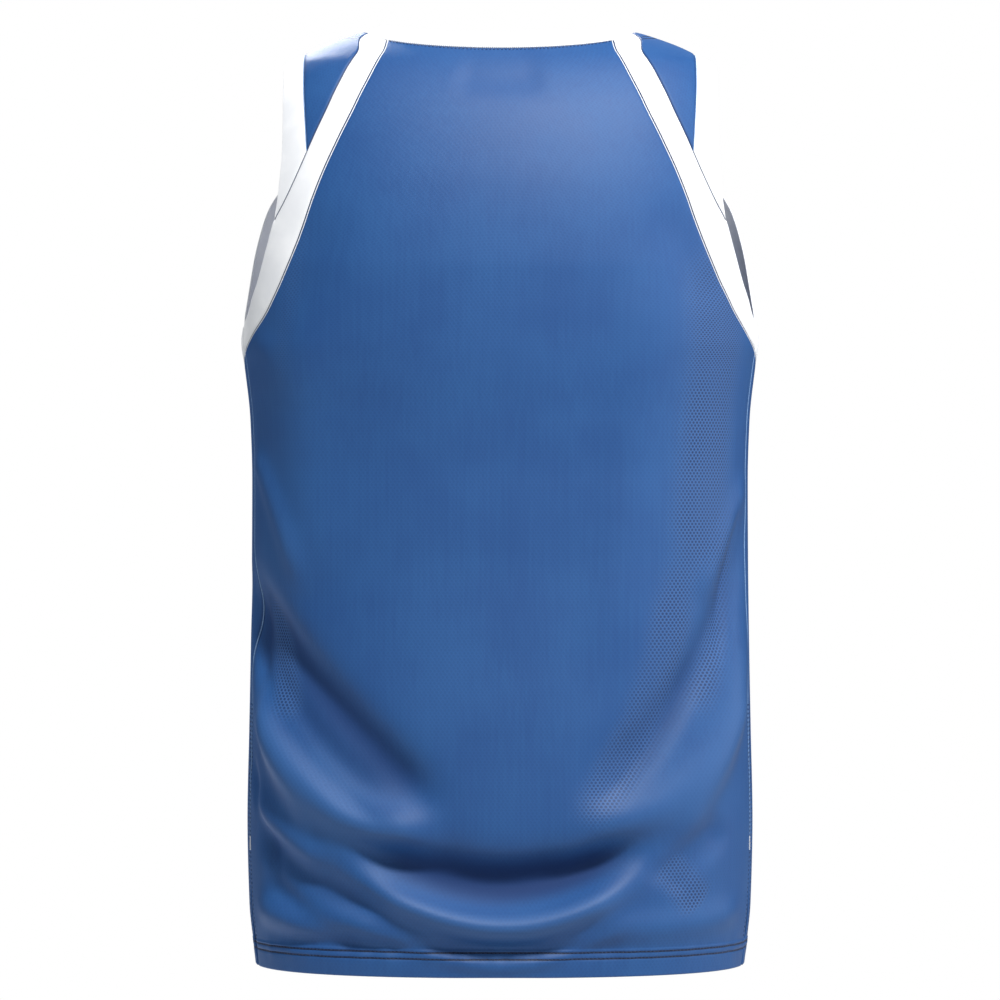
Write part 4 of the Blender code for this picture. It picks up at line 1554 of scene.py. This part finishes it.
@dataclass
class HemFold:
    """The turned-up hem, its two rows of stitches and the small puckers that they draw."""

    width: float = 20.0
    rows: tuple[float, float] = HEM_STITCHES
    raised: float = 0.5
    groove: float = 0.45
    groove_width: float = 0.9
    pucker: float = 0.28

    def relief(self, above: Array, girth: Array) -> Array:
        """How far the hem stands out of the cloth.

        Args:
            above: The distance above the hem's edge.
            girth: The girth round the body.

        Returns:
            The relief at each place.
        """
        relief = self.raised * smoothstep(self.width + 0.8, self.width - 0.4, above)
        for row in self.rows:
            relief = relief - self.groove * np.exp(-(((above - row) / self.groove_width) ** 2))
        wave = (np.sin(girth / 2.3 + 2.0 * np.sin(girth / 31.0)) * 0.6
                + np.sin(girth / 4.1 + 1.3 * np.sin(girth / 17.0)))
        near = np.exp(-(((above - 15.5) / 7.0) ** 2)) * smoothstep(0.0, 6.0, above)
        return relief + self.pucker * wave * near

    def wall(self, above: Array, cloth: float) -> Array:
        """The thickness of the cloth, which is doubled in the hem."""
        return cloth + (self.raised + 0.4) * smoothstep(self.width + 0.8, self.width - 0.4, above)

    def side_heights(self, foot: float, top: float, step: float = 3.0) -> Array:
        """Heights of the rows up a side, close at the hem's edge and round its stitches.

        Args:
            foot: The height of the hem's edge.
            top: The height where the rows stop, which is left out.
            step: The step between the plain rows.

        Returns:
            Rising heights.
        """
        close = [0, 0.7, 1.5, 2.6, 4.2, 6.4, 8.8, 11.0]
        for row in self.rows:
            close += [row + away for away in (-1.5, -0.8, 0.0, 0.8, 1.5)]
        close += [self.width, self.width + 0.9, self.width + 2.0, self.width + 4.0]
        start = close[-1] + foot
        count = round((top - start) / step)
        plain = np.linspace(start, top, count + 1)[1:-1]
        return np.append(foot + np.unique(np.round(close, 2)), plain)


@dataclass
class BodyPanel:
    """The back or the front panel, with its hem, stitches and bartacks."""

    shop: Workshop
    face: Face
    flat: tuple[float, float]
    area: float
    columns: int = 168
    wall: float = 1.1
    level_share: float = 0.35
    neck_stitch: float = 3.0
    side_stitch: float = 3.4
    side_stitch_top: float = -515.0
    side_stitch_foot: float = 22.0
    hem: HemFold = field(default_factory=HemFold)

    def _grid(self) -> Places:
        """Lay out the panel's grid.

        Returns:
            Its rows, from the hem to the neckline, and its columns.
        """
        shop, cut, face = self.shop, self.shop.cut, self.face
        edges = cut.arm_edges[face]
        half_gap = shop.seam_gap / 2
        top = float(edges.seam.height[-1])
        heights = self.hem.side_heights(cut.hem_height, top)
        side = shop.form.offset(cut.side_line(face, heights), half_gap * face.toward_arm)
        upper = edges.beside_seam(-half_gap).reversed()
        upper.angle[0] -= face.toward_arm * half_gap / shop.form.side_girth_rate
        edge = side.joined(upper).on_face(face)

        length = shop.form.length(edge)
        middle_top = float(shop.neckline.height(0.0, face))
        level = self.level_share * length[-1]
        middle = SoftCurve([0.0, level, length[-1]],
                           [cut.hem_height, cut.hem_height + level, middle_top])(length)
        width = 2 * shop.form.girth(math.radians(cut.side_seam))
        across = 2 * close_ended(width, self.columns) / width - 1

        trial = np.linspace(middle_top, edge.height[-1], cut.line_steps)
        drop = shop.neckline.point_height - middle_top
        share = np.clip((shop.neckline.point_height - trial) / drop, -1, 1)
        trial_x = shop.neckline.half_width * np.sqrt(1 - share**2)
        neck = np.interp(np.abs(across) * edge.angle[-1], shop.form.angle_at(trial_x, trial), trial)
        neck_share = (neck - middle_top) / (edge.height[-1] - middle_top)
        toward_neck = (length / length[-1])[:, None] ** 4
        lift = np.abs(across[None, :]) ** 3 * (1 - toward_neck) + neck_share[None, :] * toward_neck
        height = middle[:, None] + (edge.height - middle)[:, None] * lift
        return Places(across[None, :] * edge.angle[:, None], height).on_face(face)

    def build(self) -> ClothSheet:
        """Make the panel, its stitches and its bartacks.

        Returns:
            The panel's sheet.
        """
        shop, name = self.shop, f"{self.face.value}_panel"
        places = self._grid()
        above = places.height - shop.cut.hem_height
        sewn = smoothstep(shop.cut.vent_top - 3, shop.cut.vent_top + 3, places.height[:, 0])
        girth = shop.form.girth(places.angle)
        sheet = ClothSheet(
            shop.drape, places, self.hem.wall(above, self.wall),
            {Edge.FIRST: sewn, Edge.LAST: sewn, Edge.END: 1.0},
            self.hem.relief(above, girth),
        )
        cloth = ready(sheet.build(f"{name}_cloth", shop.finishes.mesh_knit), name)
        dressed = [self._stitches(sheet, name)]
        if self.face is Face.BACK:
            dressed.append(self._bartacks(sheet))
        LOG.info("%s: area %.4f m2, %.3f m long", name, sheet.area(),
                 sheet.distance[Edge.START][-1].max() * MM)
        return sheet

    def _stitches(self, sheet: ClothSheet, name: str) -> bpy.types.Object:
        """The hem's rows on both faces, the neckline's row and the rows along the side seams.

        Args:
            sheet: The panel.
            name: The panel's name.

        Returns:
            The stitches as one object.
        """
        work = SeamWork()
        for row in self.hem.rows:
            line, out = sheet.line(Edge.START, row)
            work.stitches(line, out)
            thick = self.hem.wall(np.array(row), self.wall)
            work.stitches(line - out * thick, -out, length=2.2, radius=0.3)
        line, out = sheet.line(Edge.END, self.neck_stitch)
        work.stitches(line, out, pitch=3.0, length=2.1, radius=0.34)
        for edge in (Edge.FIRST, Edge.LAST):
            line, out = sheet.line(edge, self.side_stitch)
            height, foot = line[:, 2], self.shop.cut.hem_height + self.side_stitch_foot
            low = (height < self.side_stitch_top) & (height > foot)
            work.stitches(line[low], out[low], pitch=3.4, length=2.0, radius=0.3)
        return ready(work.build(f"{name}_stitches", self.shop.finishes.navy_thread))

    def _bartacks(self, sheet: ClothSheet) -> bpy.types.Object:
        """The short white tacks that hold the top of each vent.

        Args:
            sheet: The back panel.

        Returns:
            The tacks as one object.
        """
        work = SeamWork()
        for edge in (Edge.FIRST, Edge.LAST):
            for away in (2.6, 3.4, 4.2):
                line, out = sheet.line(edge, away)
                near = np.abs(line[:, 2] - self.shop.cut.vent_top) < 7.5
                work.stitches(line[near], out[near], pitch=1.1, length=1.9, radius=0.32, lift=0.25,
                              skew=62)
        return ready(work.build("vent_bartacks", self.shop.finishes.white_thread))


@dataclass
class DiagonalBand:
    """The white band between a panel and the shoulder piece, on one side of one face."""

    shop: Workshop
    face: Face
    side: Side
    flat: tuple[float, float] = (0.0225, 0.365)
    area: float = 0.0078
    wall: float = 1.3
    fade: int = 8
    top_shares: tuple[float, float] = (0.25, 0.5)
    shares: tuple[float, ...] = (
        0.0, 0.03, 0.07, 0.12, 0.19, 0.28, 0.38, 0.5, 0.62, 0.72, 0.81, 0.88, 0.93, 0.97, 1.0)

    def _grid(self) -> Places:
        """Lay out the band's grid.

        Returns:
            Its rows, from the neckline to the side seam, and its columns.
        """
        shop = self.shop
        edges = shop.cut.arm_edges[self.face]
        half_gap = shop.seam_gap / 2
        inner, outer = edges.beside_seam(half_gap), edges.beside_outer(-half_gap)
        across = np.array(self.shares)

        def between(first: Array, last: Array) -> Array:
            """Pairs across the band between two rows of pairs."""
            return first[:, None] * (1 - across[:, None]) + last[:, None] * across[:, None]

        def pairs(line: Places) -> Array:
            """Angles and heights side by side."""
            return np.stack([line.angle, line.height], axis=-1)

        round_body = between(pairs(inner), pairs(outer))
        over_ridge = between(shop.form.over_shoulder(inner), shop.form.over_shoulder(outer))
        neck = shop.neckline.stretch(inner[0], outer[0], across)
        fade = (1 - edges.shares[:, None, None]) ** self.fade
        over_ridge = over_ridge + fade * (shop.form.over_shoulder(neck) - over_ridge[0])
        over_ridge = pairs(shop.form.from_shoulder(over_ridge))
        start, end = self.top_shares
        lower = np.clip((edges.shares - start) / (end - start), 0, 1)[:, None, None]
        places = over_ridge * (1 - lower) + round_body * lower
        places[-1, :, 0] -= self.face.toward_arm * half_gap / shop.form.side_girth_rate
        return Places(places[..., 0], places[..., 1])

    def build(self) -> ClothSheet:
        """Make the band, a dark cord along its seams for their painted shadow line, and a white cord beside
        its inner seam.

        Returns:
            The band's sheet.
        """
        shop = self.shop
        edges = shop.cut.arm_edges[self.face]
        places = self._grid()
        if self.side is Side.RIGHT:
            places = places.mirrored()
        name = f"{self.face.value}_band_{self.side.word}"
        rows = np.arange(len(edges.shares))
        sewn = 1 - smoothstep(edges.binding_end - 1, edges.binding_end + 2, rows)
        sheet = ClothSheet(shop.drape, places, self.wall,
                           {Edge.START: 1.0, Edge.END: 1.0, Edge.FIRST: 1.0, Edge.LAST: sewn})
        cloth = ready(sheet.build(f"{name}_cloth", shop.finishes.plain_knit), name)
        # Painted shadow: the dark cords stand for the shadow lines in the band's seams.
        dark, light = SeamWork(), SeamWork()
        line, out = sheet.line(Edge.FIRST, 0.0)
        dark.cord(line, out, 0.42, 0.12)
        light.cord(*self._beside(sheet, -1.35), 0.42, 0.05)
        line, out = sheet.line(Edge.LAST, 0.0)
        dark.cord(line[: edges.binding_end], out[: edges.binding_end], 0.36, 0.1)
        dressed = [
            ready(dark.build(f"{name}_seam_shade", shop.finishes.navy_thread)),
            ready(light.build(f"{name}_seam_cord", shop.finishes.white_thread)),
        ]
        LOG.info("%s: area %.5f m2", name, sheet.area())
        return sheet

    def _beside(self, sheet: ClothSheet, distance: float) -> tuple[Array, Array]:
        """A line on the panel beside the band's seam.

        Args:
            sheet: The band.
            distance: The distance from the seam, below 0 on the panel.

        Returns:
            The line's points and outward directions.
        """
        shop = self.shop
        line = shop.cut.arm_edges[self.face].beside_seam(distance)
        if self.side is Side.RIGHT:
            line = line.mirrored()
        sunk = -ClothSheet.sink * math.exp(-((distance / ClothSheet.sink_width) ** 2))
        return shop.drape.point(line, sunk), shop.form.normal(line)


@dataclass
class ShoulderCap:
    """The blue piece over one shoulder and the white binding along its armhole edge."""

    shop: Workshop
    side: Side
    flat: tuple[float, float] = (0.235, 0.062)
    area: float = 0.0079
    binding_flat: tuple[float, float] = (0.252, 0.0215)
    binding_area: float = 0.0053
    wall: float = 1.1
    binding_wall: float = 1.8
    columns: int = 62
    close: tuple[float, ...] = (0.0, 0.004, 0.009, 0.016, 0.026)
    ridge_steps: int = 4

    def _across_ridge(self, start: Array, end: Array, edge_at: SoftCurve, shares: Array) -> Array:
        """Pairs over the shoulder from start to end whose distances follow an edge.

        Args:
            start: The distance and root where the line starts.
            end: Those where it ends.
            edge_at: The distance from the middle plane over height.
            shares: Shares of the way.

        Returns:
            The distance and root at each share.
        """
        root = start[1] + (end[1] - start[1]) * shares
        x = start[0] + (end[0] - start[0]) * shares
        for _ in range(self.ridge_steps):
            x = edge_at(self.shop.form.ridge_height(x) - root**2)
        x = x + (start[0] - x[0]) * (1 - shares) + (end[0] - x[-1]) * shares
        return np.stack([x, root], axis=-1)

    @staticmethod
    def _patch(back: Array, front: Array, start: Array, end: Array, along: Array,
               across: Array) -> Array:
        """Pairs between four edges.

        Args:
            back: The edge at the first column.
            front: The edge at the last column.
            start: The first row.
            end: The last row.
            along: Shares of the way from the first row to the last.
            across: Shares of the way from the first column to the last.

        Returns:
            The pairs of each row and column.
        """
        p, q = along[:, None, None], across[None, :, None]
        ruled = (1 - q) * back[:, None] + q * front[:, None] + (1 - p) * start[None] + p * end[None]
        corners = (1 - p) * ((1 - q) * back[0] + q * front[0]) + p * (
            (1 - q) * back[-1] + q * front[-1])
        return ruled - corners

    def build(self) -> ClothSheet:
        """Make the shoulder piece and its binding.

        Returns:
            The shoulder piece's sheet.
        """
        shop = self.shop
        edges = shop.cut.arm_edges
        back, front = (edges[face].beside_outer(shop.seam_gap / 2) for face in Face)
        shoulder_end, binding_end = edges[Face.BACK].shoulder_end, edges[Face.BACK].binding_end
        back_edge, front_edge = (shop.form.over_shoulder(line) for line in (back, front))
        across = close_ended(1.0, self.columns, self.close)
        neck = shop.form.over_shoulder(shop.neckline.stretch(back[0], front[0], across))
        inner_at, outer_at = binding_edge("inner_edge"), binding_edge("outer_edge")
        arm = self._across_ridge(back_edge[shoulder_end], front_edge[shoulder_end], inner_at, across)
        neck[0], neck[-1] = back_edge[0], front_edge[0]
        along = edges[Face.BACK].shares[: shoulder_end + 1] / edges[Face.BACK].shares[shoulder_end]
        pairs = self._patch(back_edge[: shoulder_end + 1], front_edge[: shoulder_end + 1], neck, arm,
                            along, across)
        name = f"shoulder_{self.side.word}"
        sheet = self._sheet(pairs, self.wall, {edge: 1.0 for edge in Edge})
        cloth = ready(sheet.build(f"{name}_cloth", shop.finishes.mesh_knit), name)
        LOG.info("%s: area %.5f m2", name, sheet.area())

        shares = edges[Face.BACK].shares[shoulder_end : binding_end + 1]
        along = (shares - shares[0]) / (shares[-1] - shares[0])
        clear = np.stack([shop.seam_gap * (1 - along), 0 * along], axis=-1)
        rows = slice(shoulder_end, binding_end + 1)
        back_edge, front_edge = back_edge[rows] + clear, front_edge[rows] + clear
        inner = self._across_ridge(back_edge[0], front_edge[0], inner_at, across)
        outer = self._across_ridge(back_edge[-1], front_edge[-1], outer_at, across)
        pairs = self._patch(back_edge, front_edge, inner, outer, along, across)
        name = f"armhole_binding_{self.side.word}"
        binding = self._sheet(pairs, self.binding_wall,
                              {Edge.START: 1.0, Edge.FIRST: 1.0, Edge.LAST: 1.0})
        cloth = ready(binding.build(f"{name}_cloth", shop.finishes.plain_knit), name)
        work = SeamWork()
        line, out = binding.line(Edge.START, 0.0)
        work.cord(line, out, 0.36, 0.15)
        cord = ready(work.build(f"{name}_seam_cord", shop.finishes.blue_cord))
        LOG.info("%s: area %.5f m2", name, binding.area())
        return sheet

    def _sheet(self, pairs: Array, wall: float, sewn: dict[Edge, Array | float]) -> ClothSheet:
        """A sheet on this side through pairs of distances and roots.

        Args:
            pairs: The pairs of each row and column.
            wall: The thickness of the cloth.
            sewn: The share to which each edge is sewn down.

        Returns:
            The sheet.
        """
        places = self.shop.form.from_shoulder(pairs)
        if self.side is Side.RIGHT:
            places = places.mirrored()
        return ClothSheet(self.shop.drape, places, wall, sewn)


@dataclass
class NeckRib:
    """The folded rib that stands on the neckline, all the way round."""

    shop: Workshop
    width: float = 13.0
    wall: float = 1.8
    lean_back: float = 30.0
    lean_at_point: float = 8.0
    lean_front: float = 8.0
    step: float = 2.2
    flat: tuple[float, float] = (0.735, 0.0131)
    area: float = 0.0096
    ring_steps: int = 900

    def _neckline(self) -> tuple[Array, Array]:
        """The whole neckline.

        Returns:
            Its points and the directions out of the cloth.
        """
        neck, form = self.shop.neckline, self.shop.form
        turns = np.linspace(0, 2 * math.pi, self.ring_steps)[:-1]
        sine = np.cos(turns)
        drop = np.where(sine > 0, neck.back_drop, neck.front_drop)
        height = neck.point_height - drop * np.abs(sine)
        x = neck.half_width * np.sin(turns)
        own_angle = form.angle_at(np.abs(x), height)
        angle = np.where(sine > 0, own_angle, math.pi - own_angle) * np.sign(x + 1e-12)
        places = Places(angle, height)
        return self.shop.drape.point(places, -0.2), form.normal(places)

    def build(self) -> bpy.types.Object:
        """Make the rib.

        Returns:
            The object.
        """
        base, out = self._neckline()
        closed = np.vstack([base, base[:1]])
        length = np.append(0, np.cumsum(np.linalg.norm(np.diff(closed, axis=0), axis=1)))
        keep = np.append(True, np.diff(length) > 1e-6)
        length, closed, closed_out = length[keep], closed[keep], np.vstack([out, out[:1]])[keep]
        at = np.linspace(0, length[-1], round(length[-1] / self.step) + 1)[:-1]
        base = np.stack([np.interp(at, length, closed[:, k]) for k in range(3)], axis=-1)
        out = unit(np.stack([np.interp(at, length, closed_out[:, k]) for k in range(3)], axis=-1))
        for _ in range(3):
            out = unit(np.roll(out, 1, axis=0) + 2 * out + np.roll(out, -1, axis=0))
            base = (np.roll(base, 1, axis=0) + 6 * base + np.roll(base, -1, axis=0)) / 8
        run = unit(np.roll(base, -1, axis=0) - np.roll(base, 1, axis=0))
        inward = unit(np.cross(run, out))
        behind = base[:, 1] > 0
        drop = np.where(behind, self.shop.neckline.back_drop, self.shop.neckline.front_drop)
        share = np.clip((self.shop.neckline.point_height - base[:, 2]) / drop, 0, 1)
        lowest = np.where(behind, self.lean_back, self.lean_front)
        lean = np.radians(self.lean_at_point + (lowest - self.lean_at_point) * share)[:, None]
        rise = inward * np.cos(lean) + out * np.sin(lean)
        thick = out * np.cos(lean) - inward * np.sin(lean)

        half = self.wall / 2
        up = np.array([0.0, 0.6, 1.4, 2.6, 5.0, 8.0, 10.5, 11.4])
        sunk = -0.75 * np.exp(-((up / 1.5) ** 2))
        turn = np.radians([0, 30, 60, 90, 120, 150, 180])
        section = np.concatenate([
            np.stack([up, sunk], axis=-1),
            np.stack([self.width - half + half * np.sin(turn), half * np.cos(turn) - half], axis=-1),
            np.stack([up[::-1], -self.wall - sunk[::-1] * 0.3], axis=-1),
        ])
        points = (base[None] + rise[None] * section[:, None, :1] + thick[None] * section[:, None, 1:])
        rows_in, count = points.shape[:2]
        index = np.arange(rows_in * count).reshape(rows_in, count)
        ring = np.hstack([index, index[:, :1]])
        ring = np.vstack([ring, ring[:1]])
        faces = np.stack([ring[:-1, :-1], ring[:-1, 1:], ring[1:, 1:], ring[1:, :-1]], axis=-1)
        faces = faces.reshape(-1, 4)
        flat = points.reshape(-1, 3)
        first = faces[count // 2]
        normal = np.cross(flat[first[1]] - flat[first[0]], flat[first[3]] - flat[first[0]])
        if (normal * thick[count // 2]).sum() < 0:
            faces = faces[:, ::-1]
        piece = make_piece("neck_rib_band", flat, faces, self.shop.finishes.rib_knit)
        along = np.broadcast_to(at[None, :], (rows_in, count))
        folded = np.append(0, np.cumsum(np.linalg.norm(np.diff(section, axis=0), axis=1)))
        over = np.broadcast_to(folded[:, None], (rows_in, count))
        lay_cloth_map(piece, np.stack([along.ravel(), over.ravel()], axis=-1), ring=length[-1])
        rib = ready(piece, "neck_rib")
        return rib


@dataclass
class SideSeams:
    """The pale cord along each side seam: the seam's thread, drawn pale as a painted highlight along its
    edge.
    """

    shop: Workshop
    radius: float = 0.5

    def build(self) -> None:
        """Make both cords as one piece."""
        shop = self.shop
        top = float(shop.cut.arm_edges[Face.BACK].seam.height[-1])
        heights = np.linspace(shop.cut.vent_top + 1, top, 140)
        line = Places(np.full(140, math.radians(shop.cut.side_seam)), heights)
        work = SeamWork()
        # Painted highlight: the cords are paler than the cloth where the seam's edge catches the light.
        for places in (line, line.mirrored()):
            work.cord(shop.drape.point(places, -ClothSheet.sink), shop.form.normal(places),
                      self.radius, 0.3)
        ready(work.build("side_seam_highlight_cords", shop.finishes.blue_cord))


# ---------------------------------------------------------------- the studio


@dataclass(frozen=True)
class SoftLight:
    """One softbox: its place, the place that it faces, its size in metres, and its power."""

    name: str
    place: tuple[float, float, float]
    aim: tuple[float, float, float]
    size: float
    power: float
    glossy: bool = True
    colour: tuple[float, float, float] = (1.0, 1.0, 1.0)


@dataclass
class Studio:
    """A pale floor, soft lights and the camera."""

    lights: tuple[SoftLight, ...] = (
        SoftLight("back_key", (-0.75, 1.75, 1.95), (0.0, 0.0, -0.4), 0.5, 108.0),
        SoftLight("right_side", (-3.0, 0.4, 0.2), (0.0, 0.0, -0.35), 1.2, 30.0),
        SoftLight("left_side", (3.0, -0.4, 0.2), (0.0, 0.0, -0.35), 1.2, 12.0, False),
        SoftLight("front_key", (0.75, -2.05, 1.60), (0.0, 0.0, -0.4), 1.0, 88.0),
    )
    floor_height: float = -1.45
    floor_radius: float = 5.8
    surround: float = 0.50
    camera_place: tuple[float, float, float] = (0.0, 3.5, -0.360)
    lens: float = 159.49

    def build(self) -> None:
        """Set up the studio."""
        self._floor()
        self._surround()
        for light in self.lights:
            data = bpy.data.lights.new(light.name, "AREA")
            data.shape, data.size = "DISK", light.size
            data.energy, data.color = light.power, light.colour
            lamp = bpy.data.objects.new(light.name, data)
            lamp.location = light.place
            aim = Vector(light.aim) - Vector(light.place)
            lamp.rotation_euler = aim.to_track_quat("-Z", "Y").to_euler()
            lamp.visible_glossy = light.glossy
            bpy.context.scene.collection.objects.link(lamp)
        self._camera()
        bpy.context.scene.view_settings.view_transform = "Standard"

    def _floor(self) -> None:
        """A round pale floor below the jersey."""
        turn = np.linspace(0, 2 * math.pi, 97)[:-1]
        rings = [0.6, 2.4, 4.4, self.floor_radius]
        points = [(0.0, 0.0, self.floor_height)]
        for radius in rings:
            points += [(radius * math.cos(t), radius * math.sin(t), self.floor_height) for t in turn]
        count = len(turn)
        faces = [(0, 1 + i, 1 + (i + 1) % count) for i in range(count)]
        for r in range(len(rings) - 1):
            a, b = 1 + r * count, 1 + (r + 1) * count
            faces += [(a + i, b + i, b + (i + 1) % count, a + (i + 1) % count) for i in range(count)]
        graph = ShaderGraph("pale_floor")
        grain = graph.noise(graph.object_place(), 3.0, 2.0)
        colour = graph.mix(grain, (0.86, 0.86, 0.865), (0.88, 0.88, 0.885))
        material = graph.surface({"Base Color": colour, "Roughness": 0.9, "Specular IOR Level": 0.1,
                                  "Emission Color": (1.0, 1.0, 1.0), "Emission Strength": 0.12})
        floor = make_piece("floor", np.array(points) / MM, faces, material)
        floor.visible_diffuse = False

    def _surround(self) -> None:
        """White all round for the eye, and a soft even light for the cloth."""
        world = bpy.data.worlds.new("surround")
        world.use_nodes = True
        bpy.context.scene.world = world
        nodes, links = world.node_tree.nodes, world.node_tree.links
        nodes.clear()
        seen, soft = nodes.new("ShaderNodeBackground"), nodes.new("ShaderNodeBackground")
        seen.inputs["Strength"].default_value = 1.0
        seen.inputs["Color"].default_value = (1.0, 1.0, 1.0, 1.0)
        soft.inputs["Color"].default_value = (0.95, 0.98, 1.0, 1.0)
        path, blend = nodes.new("ShaderNodeLightPath"), nodes.new("ShaderNodeMixShader")
        even = nodes.new("ShaderNodeMath")
        even.operation = "MULTIPLY"
        even.inputs[1].default_value = self.surround
        links.new(path.outputs["Is Diffuse Ray"], even.inputs[0])
        links.new(even.outputs[0], soft.inputs["Strength"])
        output = nodes.new("ShaderNodeOutputWorld")
        links.new(path.outputs["Is Camera Ray"], blend.inputs[0])
        links.new(soft.outputs[0], blend.inputs[1])
        links.new(seen.outputs[0], blend.inputs[2])
        links.new(blend.outputs[0], output.inputs["Surface"])

    def _camera(self) -> None:
        """The camera, level behind the jersey."""
        data = bpy.data.cameras.new("camera")
        data.lens, data.sensor_width, data.clip_end = self.lens, 36.0, 50.0
        camera = bpy.data.objects.new("camera", data)
        camera.location = self.camera_place
        camera.rotation_euler = (math.radians(90), 0.0, math.radians(180))
        bpy.context.scene.collection.objects.link(camera)
        bpy.context.scene.camera = camera


# ---------------------------------------------------------------- making it all


def main() -> None:
    """Build the studio and the jersey, piece by piece."""
    logging.basicConfig(level=logging.INFO, format="%(name)s: %(message)s")
    Studio().build()
    form = BodyForm()
    neckline = Neckline(form)
    shop = Workshop(form, Drape(form, BODY_FOLDS + FINE_FOLDS), neckline, CutPlan(form, neckline),
                    Finishes())

    pieces = (
        NeckRib(shop),
        BodyPanel(shop, Face.BACK, flat=(0.455, 0.73), area=0.30),
        BodyPanel(shop, Face.FRONT, flat=(0.570, 0.72), area=0.36),
        *(DiagonalBand(shop, face, side) for face in Face for side in Side),
        *(ShoulderCap(shop, side) for side in Side),
        SideSeams(shop),
    )
    for piece in pieces:
        piece.build()


if __name__ == "__main__":
    main()
